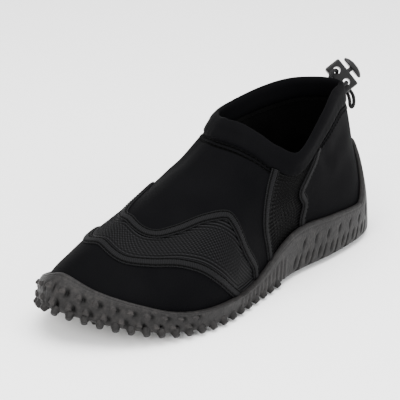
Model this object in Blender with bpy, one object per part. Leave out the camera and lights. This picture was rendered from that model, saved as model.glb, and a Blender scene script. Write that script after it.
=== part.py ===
"""Slip-on water shoe, left foot: stretch upper with a folded cuff on a studded cup sole.

Frame: +X towards the toe, +Y towards the outer (lateral) side, +Z up, the floor at Z = 0.
Every shell is read from one surface: ribs that start inside the cup sole and rise to the cuff.
"""
from collections import namedtuple
import math

import bmesh
import bpy
from mathutils import Matrix, Vector
import numpy as np

# Driving sizes, in metres
LENGTH = 0.285            # outsole, heel to toe
BALL_WIDTH = 0.103        # outsole across the ball
HEEL_WIDTH = 0.070        # outsole across the heel
INSTEP_HEIGHT = 0.109     # floor to the cuff's top at its front
HEEL_HEIGHT = 0.110       # floor to the cuff's top at its back
OUTER_DIP = 0.0875        # floor to the cuff's top where it dips under the outer ankle
INNER_DIP = 0.1035        # the same under the inner ankle
TOE_SPRING = 0.020        # rise of the tread at the toe tip
ARCH_RISE = 0.004         # rise of the tread under the inner arch

UPPER_WALL = 0.0025       # bonded stretch cloth
CUFF_BAND = 0.015         # height of the folded cuff
CUFF_THICKNESS = 0.0048   # folded cuff at its fullest
SOLE_WALL = 0.0036        # cup wall of the sole
SOLE_FLOOR = 0.0065       # sole under the insole
RIM_HEIGHT = 0.017        # sole rim above the floor at the ball
COUNTER_RISE = 0.036      # rubber counter that sweeps up to the heel seam, above the rim beside it
COUNTER_REACH = 0.046     # from the seam, along the outline, to where it starts to rise
COUNTER_TOP = 0.006       # half of its level top
INSOLE_THICKNESS = 0.0035
SEAT_GAP = 0.0003         # between pieces that touch
TREAD_EDGE = 0.0035       # rounding between the sole's side and its tread
FLOOR_RING = 0.014        # inset of the rings that carry floor and tread inwards
INSOLE_CLEARANCE = 0.0010 # to the upper's wall
INSOLE_EDGE = 0.0020      # soft edge of the insole's top

STUD_HEIGHT = 0.003
STUD_RADIUS = 0.0029      # at the root
STUD_TIP = 0.0021         # radius of its flat tip
STUD_SIDES = 6
STUD_SINK = 0.0012        # depth of a stud's root in the sole
EDGE_STUD_PITCH = 0.0092  # round the edge of the forefoot
EDGE_STUD_INSET = 0.0022  # root, in from the outline
EDGE_STUD_RAISE = 0.0010  # root above a tread stud's, so that the tread studs carry the shoe
EDGE_STUD_DROOP = math.radians(37)
TREAD_STUD_PITCH = 0.0198
TREAD_STUD_MARGIN = 0.010 # from the sole's outline to the outermost tread stud
BUMP_RADIUS = 0.0022      # low bumps on the toe's side wall
BUMP_HEIGHT = 0.0009
BUMP_PITCH = 0.0105
BUMP_PLACE = 0.55         # share of the side wall's height
GROOVE_WIDTH = 0.0018     # slanted grooves in the heel's side wall
GROOVE_DEPTH = 0.0011
GROOVE_PITCH = 0.0120
GROOVE_SLANT = 0.60       # lean towards the heel per unit of height
GROOVE_PLACE = 0.22       # middle of a groove, share of the side wall's height
GROOVE_RUN = 0.52         # its length, share of the rim's height

TAPE_WIDTH = 0.0066       # raised tapes over the seams
TAPE_THICKNESS = 0.0010
TAPE_GAP = 0.0007         # under a tape, more than SEAT_GAP as both faces bend
TAPE_STEP = 0.0065        # between the sections of a tape

CORD_DIAMETER = 0.0026    # elastic drawcord
LOCK_WIDTH = 0.0225
LOCK_DEPTH = 0.0075
LOCK_HEIGHT = 0.0120
LOCK_EDGE = 0.0012        # rounding of the lock's edges
LOCK_HOLE = 0.0052        # cord holes, across
LOCK_HOLE_SPACING = 0.0105
BUTTON_WIDTH = 0.0172
BUTTON_DEPTH = 0.0086
BUTTON_THICKNESS = 0.0042
BUTTON_TRAVEL = 0.0024
STEM_RADIUS = 0.0016
STEM_CLEARANCE = 0.0003
STEM_HOLD = 0.0055        # length of stem inside the lock at rest

AROUND = 64               # ribs round the shoe
RISES = 9                 # rings up the upper
DENSER_ENDS = 0.6         # how much closer the ribs stand at heel and toe

# Stretches round the shoe, by their turn: 0 at the heel seam, one half at the toe tip
FOREFOOT_FROM, FOREFOOT_TO = 0.225, 0.755
BUMPS_FROM, BUMPS_TO = 0.36, 0.62
HEEL_GROOVES_FROM, HEEL_GROOVES_TO = 0.065, 0.185
# Stretches of the tread, shares of LENGTH
TREAD_FROM, TREAD_TO = 0.085, 0.93
WAIST_FROM, WAIST_TO = 0.36, 0.50

# Section of the cup wall. at: share of the way up the rib to the rim; out: share of SOLE_WALL
WallPoint = namedtuple("WallPoint", "at out")
WALL_SIDE = [WallPoint(1.00, 0.60), WallPoint(0.93, 0.90), WallPoint(0.50, 1.05)]
WALL_INSIDE = [WallPoint(0.35, 0.00), WallPoint(0.70, 0.00), WallPoint(1.00, 0.00)]
SIDE_FOOT = 0.45          # lowest point of the side, share of SOLE_FLOOR

# Section of the cuff. rise: share of its height; out: share of half its thickness, from its middle
CuffPoint = namedtuple("CuffPoint", "rise out")
CUFF_SECTION = [
    CuffPoint(0.00, 0.55), CuffPoint(0.20, 0.95), CuffPoint(0.60, 1.00), CuffPoint(0.90, 0.60),
    CuffPoint(1.00, 0.00), CuffPoint(0.90, -0.60), CuffPoint(0.60, -1.00), CuffPoint(0.20, -0.95),
    CuffPoint(0.00, -0.55)]

# Section of a tape. across: share of half its width; up: share of its thickness
TapePoint = namedtuple("TapePoint", "across up")
TAPE_SECTION = [
    TapePoint(-1.0, 0.0), TapePoint(-0.8, 0.9), TapePoint(0.0, 1.0), TapePoint(0.8, 0.9),
    TapePoint(1.0, 0.0), TapePoint(0.0, 0.0)]

# Head of the button. up: share of its thickness; wide, deep: shares of half its width and depth
HeadRing = namedtuple("HeadRing", "up wide deep")
BUTTON_HEAD = [
    HeadRing(0.00, 0.90, 0.86), HeadRing(0.12, 1.00, 1.00), HeadRing(0.42, 1.00, 1.00),
    HeadRing(0.78, 0.74, 0.68), HeadRing(1.00, 0.36, 0.30)]

# One row for each rib, round the shoe from the heel over the outer side.
# x, out: place on the sole's outline, shares of LENGTH and of the row's own width
# rim: sole rim, share of RIM_HEIGHT
# cx, cy: cuff's top edge, shares of LENGTH and of the row's own width
# cz: its height, share of the row's own height
# h1, z1, h2, z2: the rib's two handles, shares of its run inwards and of its rise
Rib = namedtuple("Rib", "name x width out rim cx cy height cz h1 z1 h2 z2")
RIBS = [
    Rib("heel seam", 0.000, HEEL_WIDTH, 0.00, 1.65, 0.067, 0.00, HEEL_HEIGHT, 0.99, 0.10, 0.35, 0.60, 0.72),
    Rib("heel outer corner", 0.030, HEEL_WIDTH, 0.30, 1.64, 0.090, 0.10, HEEL_HEIGHT, 1.00, 0.10, 0.33, 0.65, 0.68),
    Rib("heel outer side", 0.100, HEEL_WIDTH, 0.46, 1.62, 0.150, 0.21, HEEL_HEIGHT, 1.00, 0.08, 0.33, 0.65, 0.68),
    Rib("outer quarter", 0.230, HEEL_WIDTH, 0.53, 1.83, 0.240, 0.37, HEEL_HEIGHT, 0.93, 0.08, 0.33, 0.65, 0.68),
    Rib("outer waist", 0.390, HEEL_WIDTH, 0.53, 1.92, 0.365, 0.51, OUTER_DIP, 1.00, 0.10, 0.33, 0.80, 0.68),
    Rib("outer instep", 0.550, BALL_WIDTH, 0.43, 0.84, 0.425, 0.29, OUTER_DIP, 1.08, 0.00, 0.38, 0.70, 0.66),
    Rib("outer ball", 0.690, BALL_WIDTH, 0.487, 0.84, 0.450, 0.20, INSTEP_HEIGHT, 0.94, -0.03, 0.38, 0.70, 0.61),
    Rib("outer forefoot", 0.800, BALL_WIDTH, 0.437, 1.06, 0.465, 0.14, INSTEP_HEIGHT, 0.98, -0.04, 0.36, 0.76, 0.58),
    Rib("outer toe", 0.885, BALL_WIDTH, 0.310, 1.50, 0.470, 0.085, INSTEP_HEIGHT, 0.995, -0.03, 0.32, 0.82, 0.56),
    Rib("toe outer corner", 0.955, BALL_WIDTH, 0.120, 1.95, 0.473, 0.035, INSTEP_HEIGHT, 1.00, -0.02, 0.30, 0.86, 0.54),
    Rib("toe tip", 1.000, BALL_WIDTH, -0.125, 2.40, 0.474, -0.01, INSTEP_HEIGHT, 1.00, -0.02, 0.30, 0.86, 0.54),
    Rib("toe inner corner", 0.965, BALL_WIDTH, -0.335, 1.95, 0.470, -0.055, INSTEP_HEIGHT, 1.00, -0.02, 0.32, 0.84, 0.54),
    Rib("inner toe", 0.885, BALL_WIDTH, -0.475, 1.50, 0.462, -0.11, INSTEP_HEIGHT, 0.99, -0.03, 0.35, 0.80, 0.55),
    Rib("inner ball", 0.770, BALL_WIDTH, -0.513, 1.18, 0.440, -0.19, INSTEP_HEIGHT, 0.98, -0.03, 0.38, 0.72, 0.58),
    Rib("inner instep", 0.620, BALL_WIDTH, -0.410, 1.00, 0.400, -0.27, INNER_DIP, 1.02, 0.00, 0.36, 0.68, 0.64),
    Rib("inner waist", 0.450, HEEL_WIDTH, -0.430, 1.30, 0.330, -0.51, INNER_DIP, 1.00, 0.05, 0.33, 0.70, 0.70),
    Rib("inner quarter", 0.260, HEEL_WIDTH, -0.475, 1.80, 0.220, -0.48, HEEL_HEIGHT, 0.975, 0.05, 0.33, 0.65, 0.70),
    Rib("heel inner side", 0.100, HEEL_WIDTH, -0.435, 1.62, 0.140, -0.36, HEEL_HEIGHT, 1.00, 0.08, 0.33, 0.60, 0.70),
    Rib("heel inner corner", 0.030, HEEL_WIDTH, -0.290, 1.64, 0.086, -0.17, HEEL_HEIGHT, 1.00, 0.10, 0.33, 0.60, 0.70),
]
TOE_ROW = 10

# Tape routes over the upper, points chosen by hand.
# turn: place round the shoe, 0 at the heel seam and one half at the toe tip
# climb: 0 at the sole rim, 1 at the seam under the cuff
Mark = namedtuple("Mark", "turn climb")
TAPES = {
    "vamp_tape": [
        Mark(0.259, 0.02), Mark(0.267, 0.18), Mark(0.300, 0.43), Mark(0.336, 0.59), Mark(0.359, 0.62),
        Mark(0.394, 0.58), Mark(0.426, 0.49), Mark(0.451, 0.43), Mark(0.485, 0.42), Mark(0.520, 0.46),
        Mark(0.575, 0.57), Mark(0.612, 0.62), Mark(0.640, 0.59), Mark(0.668, 0.44), Mark(0.695, 0.20),
        Mark(0.710, 0.00)],
    "toe_tape": [
        Mark(0.293, 0.00), Mark(0.327, 0.18), Mark(0.359, 0.29), Mark(0.392, 0.32), Mark(0.430, 0.28),
        Mark(0.461, 0.25), Mark(0.492, 0.26), Mark(0.536, 0.30), Mark(0.580, 0.33), Mark(0.620, 0.27),
        Mark(0.652, 0.13), Mark(0.675, 0.00)],
    "gusset_tape_front_outer": [
        Mark(0.233, 0.00), Mark(0.242, 0.25), Mark(0.256, 0.51), Mark(0.264, 0.79), Mark(0.261, 1.00)],
    "gusset_tape_rear_outer": [
        Mark(0.177, 0.00), Mark(0.177, 0.13), Mark(0.174, 0.36), Mark(0.184, 0.60), Mark(0.175, 0.74),
        Mark(0.160, 0.87), Mark(0.146, 1.00)],
    "gusset_tape_front_inner": [
        Mark(0.768, 0.00), Mark(0.757, 0.24), Mark(0.746, 0.50), Mark(0.738, 0.78), Mark(0.741, 1.00)],
    "gusset_tape_rear_inner": [
        Mark(0.826, 0.00), Mark(0.823, 0.20), Mark(0.820, 0.45), Mark(0.826, 0.70), Mark(0.838, 0.86),
        Mark(0.850, 1.00)],
}

# The cord lock stands behind the cuff, turned and tipped as the slack cord leaves it
LOCK_CENTRE = Vector((0.0065, -0.0077, 0.1061))
LOCK_ACROSS = Vector((-0.19, 0.67, -0.72)).normalized()
LOCK_BUTTON_WAY = Vector((-0.70, 0.44, 0.57)).normalized()

# Drawcord: out of the cuff, through a hole, down into a hanging loop and back, in metres
CORD_ROUTE = [
    (0.0166, 0.0010, 0.1037), (0.0151, 0.0010, 0.1041), (0.0129, 0.0008, 0.1045),
    (0.0108, 0.0000, 0.1045), (0.0087, -0.0011, 0.1036), (0.0059, -0.0034, 0.1018),
    (0.0027, -0.0060, 0.0999), (0.0012, -0.0062, 0.0983), (0.0002, -0.0044, 0.0953),
    (-0.0001, -0.0019, 0.0921), (0.0007, -0.0003, 0.0890), (0.0018, 0.0003, 0.0858),
    (0.0031, -0.0002, 0.0844), (0.0034, -0.0015, 0.0858), (0.0025, -0.0027, 0.0889),
    (0.0013, -0.0051, 0.0922), (0.0004, -0.0093, 0.0967), (0.0011, -0.0130, 0.1019),
    (0.0029, -0.0141, 0.1056), (0.0046, -0.0132, 0.1073), (0.0076, -0.0109, 0.1091),
    (0.0105, -0.0084, 0.1109), (0.0132, -0.0076, 0.1123), (0.0160, -0.0072, 0.1127),
    (0.0185, -0.0072, 0.1118), (0.0197, -0.0072, 0.1101), (0.0204, -0.0070, 0.1085)]
CORD_POINTS = 47


def loop_through(knots, values, at):
    """Smooth closed curve through values at knots (0 to 1), read at the given places."""
    knots = np.asarray(knots, float)
    values = np.asarray(values, float)
    k = np.concatenate([knots[-2:] - 1, knots, knots[:3] + 1])
    p = np.concatenate([values[-2:], values, values[:3]])
    slope = np.empty_like(p)
    slope[1:-1] = (p[2:] - p[:-2]) / (k[2:] - k[:-2])[:, None]
    at = np.asarray(at, float) % 1.0
    i = np.searchsorted(k, at, side="right") - 1
    span = (k[i + 1] - k[i])[..., None]
    t = (at - k[i])[..., None] / span
    return ((2 * t**3 - 3 * t**2 + 1) * p[i] + (t**3 - 2 * t**2 + t) * span * slope[i]
            + (3 * t**2 - 2 * t**3) * p[i + 1] + (t**3 - t**2) * span * slope[i + 1])


def rib_knots():
    """Place of each rib: 0 at the heel seam, one half at the toe tip, by distance between."""
    foot = np.array([(r.x * LENGTH, r.out * r.width) for r in RIBS])
    step = np.linalg.norm(np.roll(foot, -1, 0) - foot, axis=1)
    outer = np.concatenate([[0], np.cumsum(step[:TOE_ROW])])
    inner = np.concatenate([[0], np.cumsum(step[TOE_ROW:])])
    return np.concatenate([0.5 * outer[:-1] / outer[-1], 0.5 + 0.5 * inner[:-1] / inner[-1]])


KNOTS = rib_knots()


def around(column, u):
    """A column of the rib table, in metres or shares, read at places u."""
    return loop_through(KNOTS, [[column(r)] for r in RIBS], u)[..., 0]


def outline(u, inset=0.0):
    """Points of the sole's outline, moved inwards by inset."""
    def place(t):
        return np.stack([around(lambda r: r.x * LENGTH, t), around(lambda r: r.out * r.width, t)], -1)
    small = 0.002
    along = place(u + small) - place(u - small)
    along /= np.linalg.norm(along, axis=-1, keepdims=True)
    inwards = np.stack([along[..., 1], -along[..., 0]], -1)
    return place(u) + inset * inwards


def outline_girth():
    """Length of the sole's outline."""
    flat = outline(np.linspace(0, 1, 401))
    return np.linalg.norm(np.diff(flat, axis=0), axis=1).sum()


GIRTH = outline_girth()


def tread_height(x, y):
    """Underside of the sole, studs left off: flat, with toe spring and a rise at the inner arch."""
    share = x / LENGTH
    spring = TOE_SPRING * np.clip((share - 0.70) / 0.30, 0, None) ** 2.2
    arch = ARCH_RISE * np.exp(-((share - 0.42) / 0.10) ** 2) * (0.5 - y / HEEL_WIDTH)
    return STUD_HEIGHT + spring + arch


def foot_line(u):
    """Where a rib starts: inside the cup wall, on the sole's floor."""
    flat = outline(u, SOLE_WALL + SEAT_GAP)
    floor = tread_height(flat[..., 0], flat[..., 1]) + SOLE_FLOOR + SEAT_GAP
    return np.concatenate([flat, floor[..., None]], -1)


def cuff_line(u):
    """Where a rib ends: the top edge of the cuff."""
    return np.stack([around(lambda r: r.cx * LENGTH, u), around(lambda r: r.cy * r.width, u),
                     around(lambda r: r.cz * r.height, u)], -1)


def rib_point(u, v):
    """Point of the upper's outer face: place u round the shoe, share v up the rib."""
    u, v = np.broadcast_arrays(np.asarray(u, float), np.asarray(v, float))
    foot = foot_line(u)
    top = cuff_line(u)
    b1 = 3 * v * (1 - v) ** 2
    b2 = 3 * v**2 * (1 - v)
    run = b1 * around(lambda r: r.h1, u) + b2 * around(lambda r: r.h2, u) + v**3
    rise = b1 * around(lambda r: r.z1, u) + b2 * around(lambda r: r.z2, u) + v**3
    flat = foot[..., :2] + (top - foot)[..., :2] * run[..., None]
    height = foot[..., 2] + (top - foot)[..., 2] * rise
    return np.concatenate([flat, height[..., None]], -1)


def shell_point(u, v, lift=0.0):
    """Point of the upper's surface moved outwards along its normal by lift."""
    small = 0.004
    along = rib_point(u + small, v) - rib_point(u - small, v)
    up = rib_point(u, v + small) - rib_point(u, v - small)
    normal = np.cross(up, along)
    normal /= np.linalg.norm(normal, axis=-1, keepdims=True)
    return rib_point(u, v) + normal * np.asarray(lift)[..., None]


def rib_places(count=AROUND):
    """Even steps round the shoe, drawn closer together at heel and toe."""
    t = np.arange(count) / count
    return t - DENSER_ENDS * np.sin(4 * math.pi * t) / (4 * math.pi)


def rim_height(u):
    """Sole rim above the floor, with the counter that sweeps up to the heel seam."""
    off_seam = np.abs((np.asarray(u) + 0.5) % 1.0 - 0.5) * GIRTH
    sweep = np.clip((COUNTER_REACH - off_seam) / (COUNTER_REACH - COUNTER_TOP), 0, 1)
    counter = COUNTER_RISE * sweep**2 * (3 - 2 * sweep)
    return RIM_HEIGHT * around(lambda r: r.rim, u) + counter


def share_at_height(u, height):
    """Share up each rib where the surface reaches a height."""
    steps = np.linspace(0, 1, 201)
    heights = rib_point(np.asarray(u)[:, None], steps[None, :])[..., 2]
    return np.array([np.interp(h, line, steps) for h, line in zip(np.broadcast_to(height, len(u)), heights)])


def share_below_top(u, distance):
    """Share up each rib at a distance, measured along the rib, below the cuff's top."""
    steps = np.linspace(0, 1, 201)
    points = rib_point(np.asarray(u)[:, None], steps[None, :])
    length = np.cumsum(np.linalg.norm(np.diff(points, axis=1), axis=-1), axis=1)
    length = np.concatenate([np.zeros((len(points), 1)), length], 1)
    return np.array([np.interp(line[-1] - distance, line, steps) for line in length])


def collection_named(name):
    group = bpy.data.collections.new(name)
    bpy.context.scene.collection.children.link(group)
    return group


def finish_named(name, colour, roughness, metallic=0.0):
    """Plain material for one kind of piece."""
    material = bpy.data.materials.new(name)
    material.use_nodes = True
    shader = material.node_tree.nodes["Principled BSDF"]
    shader.inputs["Base Color"].default_value = (*colour, 1.0)
    shader.inputs["Roughness"].default_value = roughness
    shader.inputs["Metallic"].default_value = metallic
    return material


def object_from(name, mesh, group, material=None):
    piece = bpy.data.objects.new(name, mesh)
    group.objects.link(piece)
    if material:
        mesh.materials.append(material)
    return piece


def mesh_from_rings(name, rings, ends="open"):
    """Loft through equal rings, each (points, 3). The ends are open, joined or capped across."""
    rings = np.asarray(rings)
    count, size = rings.shape[:2]
    index = np.arange(count * size).reshape(count, size)
    faces = []
    loops = [(k, (k + 1) % count) for k in range(count if ends == "joined" else count - 1)]
    for low, high in loops:
        a, b = index[low], index[high]
        faces += zip(a.tolist(), np.roll(a, -1).tolist(), np.roll(b, -1).tolist(), b.tolist())
    if ends == "capped":
        for row, turn in ((index[0], True), (index[-1], False)):
            half = size // 2
            for i in range(half):
                quad = [row[i], row[i + 1], row[(size - i - 1) % size], row[(size - i) % size]]
                quad = list(dict.fromkeys(int(q) for q in quad))
                faces.append(tuple(reversed(quad)) if turn else tuple(quad))
    mesh = bpy.data.meshes.new(name)
    mesh.from_pydata(rings.reshape(-1, 3).tolist(), [], faces)
    mesh.update()
    work = bmesh.new()
    work.from_mesh(mesh)
    bmesh.ops.recalc_face_normals(work, faces=work.faces)
    bmesh.ops.triangulate(work, faces=work.faces)
    work.to_mesh(mesh)
    work.free()
    mesh.shade_smooth()
    mesh.set_sharp_from_angle(angle=math.radians(50))
    return mesh


def climb_to_share(u, climb):
    """Share up the rib for a climb of 0 at the sole rim to 1 at the cuff's seam."""
    low = share_at_height(u, rim_height(u) + 2 * SEAT_GAP)
    high = share_below_top(u, CUFF_BAND + 3 * SEAT_GAP)
    return low + (high - low) * climb


def curve_through(points, count):
    """Smooth open curve through points, read at even steps of its parameter."""
    p = np.asarray(points, float)
    p = np.concatenate([[2 * p[0] - p[1]], p, [2 * p[-1] - p[-2]]])
    at = np.linspace(0, len(points) - 1, count)
    i = np.minimum(at.astype(int), len(points) - 2)
    t = (at - i)[:, None]
    a, b, c, d = p[i], p[i + 1], p[i + 2], p[i + 3]
    return 0.5 * (2 * b + (c - a) * t + (2 * a - 5 * b + 4 * c - d) * t**2
                  + (3 * b - a - 3 * c + d) * t**3)


def make_upper(group, material):
    """Hollow stretch shell, open at the collar and underneath."""
    u = rib_places()
    top = share_below_top(u, CUFF_BAND + SEAT_GAP)
    outer = [shell_point(u, top * k / (RISES - 1)) for k in range(RISES)]
    inner = [shell_point(u, top * k / (RISES - 1), np.full(u.shape, -UPPER_WALL))
             for k in reversed(range(RISES))]
    return object_from("upper", mesh_from_rings("upper", outer + inner, "joined"), group, material)


def make_cuff(group, material):
    """Folded band round the collar: a rounded section carried along the top of the ribs."""
    u = rib_places()
    low = share_below_top(u, CUFF_BAND)
    half = CUFF_THICKNESS / 2
    rings = [shell_point(u, low + (1 - low) * p.rise, np.full(u.shape, half * p.out - UPPER_WALL / 2))
             for p in CUFF_SECTION]
    return object_from("collar_cuff", mesh_from_rings("collar_cuff", rings, "joined"), group, material)


def make_tape(name, marks, group, material):
    """Flat tape with soft edges, laid along a route on the upper's own surface."""
    route = curve_through([(m.turn, m.climb) for m in marks], 120)
    share = climb_to_share(route[:, 0], route[:, 1])
    line = np.column_stack([route[:, 0], share])
    where = rib_point(line[:, 0], line[:, 1])
    run = np.concatenate([[0], np.cumsum(np.linalg.norm(np.diff(where, axis=0), axis=1))])
    count = max(4, int(round(run[-1] / TAPE_STEP)) + 1)
    at = np.linspace(0, run[-1], count)
    u, v = np.interp(at, run, line[:, 0]), np.interp(at, run, line[:, 1])
    small = 0.002
    per_u = (rib_point(u + small, v) - rib_point(u - small, v)) / (2 * small)
    per_v = (rib_point(u, v + small) - rib_point(u, v - small)) / (2 * small)
    way = np.gradient(rib_point(u, v), axis=0)
    side = np.cross(np.cross(per_v, per_u), way)
    side /= np.linalg.norm(side, axis=-1, keepdims=True)
    # steps in u and v that move the point by one metre to the side
    uu, uv, vv = (per_u * per_u).sum(-1), (per_u * per_v).sum(-1), (per_v * per_v).sum(-1)
    su, sv = (side * per_u).sum(-1), (side * per_v).sum(-1)
    det = uu * vv - uv * uv
    step_u, step_v = (su * vv - sv * uv) / det, (sv * uu - su * uv) / det
    rings = []
    for across, up in TAPE_SECTION:
        shift = across * TAPE_WIDTH / 2
        lift = np.full(u.shape, TAPE_GAP + up * TAPE_THICKNESS)
        turn = u + shift * step_u
        share = np.clip(v + shift * step_v, climb_to_share(turn, 0.0), climb_to_share(turn, 1.0))
        rings.append(shell_point(turn, share, lift))
    sections = np.swapaxes(np.asarray(rings), 0, 1)
    return object_from(name, mesh_from_rings(name, sections, "capped"), group, material)


def sole_level(inset, up=0.0):
    """Ring of the sole at an inset from its outline, at a height above the tread."""
    flat = outline(rib_places(), inset)
    return np.column_stack([flat, tread_height(flat[:, 0], flat[:, 1]) + up])


def wall_rings(u, rim, section):
    """Rings of the cup wall, one for each point of its section."""
    return [shell_point(u, rim * p.at, np.full(u.shape, SEAT_GAP + p.out * SOLE_WALL)) for p in section]


def side_rings():
    """Outer side of the cup wall, from its crest down to the tread's edge."""
    u = rib_places()
    rim = share_at_height(u, rim_height(u))
    crest, lip, wall = wall_rings(u, rim, WALL_SIDE)
    return crest, lip, wall, sole_level(0.0, SIDE_FOOT * SOLE_FLOOR)


def make_outsole(group, cutters, material):
    """Cup sole with a counter up the heel seam, studs, bumps and heel grooves."""
    u = rib_places()
    rim = share_at_height(u, rim_height(u))
    inner = wall_rings(u, rim, WALL_INSIDE)
    rings = [sole_level(FLOOR_RING, SOLE_FLOOR), sole_level(SOLE_WALL, SOLE_FLOOR), *inner,
             *side_rings(), sole_level(0.25 * TREAD_EDGE, 0.3 * TREAD_EDGE), sole_level(TREAD_EDGE),
             sole_level(FLOOR_RING)]
    sole = object_from("outsole", mesh_from_rings("outsole", rings, "capped"), group, material)
    for name, mesh, operation in (("sole_relief", sole_relief(), "UNION"),
                                  ("heel_grooves", heel_grooves(), "DIFFERENCE")):
        tool = object_from(name, mesh, cutters)
        tool.hide_render = True
        tool.display_type = "WIRE"
        cut = sole.modifiers.new(name, "BOOLEAN")
        cut.operation = operation
        cut.object = tool
    return sole


def add_stud(work, root, way, length, root_radius, tip_radius, sides):
    """Tapered stud from its sunk root along a direction."""
    way = Vector(way).normalized()
    turn = Vector((0, 0, 1)).rotation_difference(way).to_matrix().to_4x4()
    middle = Matrix.Translation(Vector(root) + way * length / 2) @ turn
    bmesh.ops.create_cone(work, cap_ends=True, segments=sides, radius1=root_radius,
                          radius2=tip_radius, depth=length, matrix=middle)


def outline_places(pitch, first, last):
    """Places round the sole at an even pitch, between two places given by their turn."""
    turn = np.linspace(first, last, 400)
    flat = outline(turn)
    run = np.concatenate([[0], np.cumsum(np.linalg.norm(np.diff(flat, axis=0), axis=1))])
    count = int(run[-1] / pitch) + 1
    return np.interp(np.linspace(0, run[-1], count), run, turn)


def side_frame(turn, share):
    """Point on the cup wall's outer side with its outward and upward directions."""
    u = rib_places()
    crest, lip, wall, low = side_rings()
    turn = turn % 1.0
    rows = [np.array([np.interp(turn, u, ring[:, k], period=1.0) for k in range(3)])
            for ring in (low, wall, lip)]
    at = share * 2
    point = rows[0] + (rows[1] - rows[0]) * at if at < 1 else rows[1] + (rows[2] - rows[1]) * (at - 1)
    up = Vector(rows[2] - rows[0]).normalized()
    ahead = outline(np.array([turn + 0.003]))[0] - outline(np.array([turn - 0.003]))[0]
    along = Vector((ahead[0], ahead[1], 0)).normalized()
    out = up.cross(along).normalized()
    return Vector(point), out, up, along


def sole_relief():
    """Edge studs, tread studs and the low bumps on the toe's side wall, as one mesh."""
    work = bmesh.new()
    for turn in outline_places(EDGE_STUD_PITCH, FOREFOOT_FROM, FOREFOOT_TO):
        flat = outline(np.array([turn]), EDGE_STUD_INSET)[0]
        out, height = side_frame(turn, 0.0)[1], float(tread_height(*flat))
        flatwise = math.cos(EDGE_STUD_DROOP)
        way = Vector((out.x * flatwise, out.y * flatwise, -math.sin(EDGE_STUD_DROOP)))
        root = (*flat, height + STUD_SINK + EDGE_STUD_RAISE)
        add_stud(work, root, way, STUD_HEIGHT + 1.5 * STUD_SINK, STUD_RADIUS, STUD_TIP, STUD_SIDES)
    for x, y in tread_places():
        rise = float(tread_height(x, y)) - STUD_HEIGHT
        foot = rise if rise > 0.2 * STUD_HEIGHT else 0.0
        root = rise + STUD_HEIGHT + STUD_SINK
        add_stud(work, (x, y, root), (0, 0, -1), root - foot, STUD_RADIUS, STUD_TIP, STUD_SIDES)
    for turn in outline_places(BUMP_PITCH, BUMPS_FROM, BUMPS_TO):
        point, out, up, along = side_frame(turn, BUMP_PLACE)
        add_stud(work, point - out * BUMP_HEIGHT, out, 2 * BUMP_HEIGHT, BUMP_RADIUS,
                 0.7 * BUMP_RADIUS, STUD_SIDES)
    mesh = bpy.data.meshes.new("sole_relief")
    work.to_mesh(mesh)
    work.free()
    return mesh


def tread_places():
    """Staggered rows of studs under heel and forefoot, clear of the outline."""
    turn = np.linspace(0, 1, 241)[:-1]
    edge = outline(turn, TREAD_STUD_MARGIN)
    outer, inner = edge[:120], edge[120:][::-1]
    outer, inner = outer[np.argsort(outer[:, 0])], inner[np.argsort(inner[:, 0])]
    rows = int((TREAD_TO - TREAD_FROM) * LENGTH / TREAD_STUD_PITCH) + 1
    for row in range(rows):
        x = TREAD_FROM * LENGTH + row * TREAD_STUD_PITCH
        if WAIST_FROM < x / LENGTH < WAIST_TO:
            continue
        low = np.interp(x, inner[:, 0], inner[:, 1])
        high = np.interp(x, outer[:, 0], outer[:, 1])
        count = int((high - low) / TREAD_STUD_PITCH) + 1
        for k in range(count):
            yield x, low + (high - low) * (k + 0.5) / count


def heel_grooves():
    """Slanted bars that cut the grooves round the heel's side wall."""
    work = bmesh.new()
    for first, last in ((HEEL_GROOVES_FROM, HEEL_GROOVES_TO), (1 - HEEL_GROOVES_TO, 1 - HEEL_GROOVES_FROM)):
        for turn in outline_places(GROOVE_PITCH, first, last):
            point, out, up, along = side_frame(turn, GROOVE_PLACE)
            heelwards = along if along.x < 0 else -along
            lean = (up + heelwards * GROOVE_SLANT).normalized()
            across = out.cross(lean)
            length = GROOVE_RUN * float(rim_height(np.array([turn]))[0])
            size = Matrix.Diagonal((GROOVE_WIDTH, 2 * GROOVE_DEPTH, length, 1))
            turned = Matrix((across, out, lean)).transposed().to_4x4()
            bmesh.ops.create_cube(work, size=1.0, matrix=Matrix.Translation(point) @ turned @ size)
    mesh = bpy.data.meshes.new("heel_grooves")
    bmesh.ops.recalc_face_normals(work, faces=work.faces)
    work.to_mesh(mesh)
    work.free()
    return mesh


def make_insole(group, material):
    """Loose footbed on the sole's floor, inside the upper's wall."""
    inset = SOLE_WALL + UPPER_WALL + 2 * SEAT_GAP + INSOLE_CLEARANCE
    low = SOLE_FLOOR + SEAT_GAP
    rings = [sole_level(inset, low), sole_level(inset, low + 0.7 * INSOLE_THICKNESS),
             sole_level(inset + INSOLE_EDGE, low + INSOLE_THICKNESS)]
    return object_from("insole", mesh_from_rings("insole", rings, "capped"), group, material)


def lock_matrix():
    """Place of the cord lock: X across its holes, Y towards the button, Z along the holes."""
    across = LOCK_ACROSS
    way = (LOCK_BUTTON_WAY - across * LOCK_BUTTON_WAY.dot(across)).normalized()
    turned = Matrix((across, way, across.cross(way))).transposed().to_4x4()
    return Matrix.Translation(LOCK_CENTRE) @ turned


def cylinder_mesh(name, radius, length, sides):
    work = bmesh.new()
    bmesh.ops.create_cone(work, cap_ends=True, segments=sides, radius1=radius, radius2=radius,
                          depth=length)
    mesh = bpy.data.meshes.new(name)
    work.to_mesh(mesh)
    work.free()
    return mesh


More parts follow.
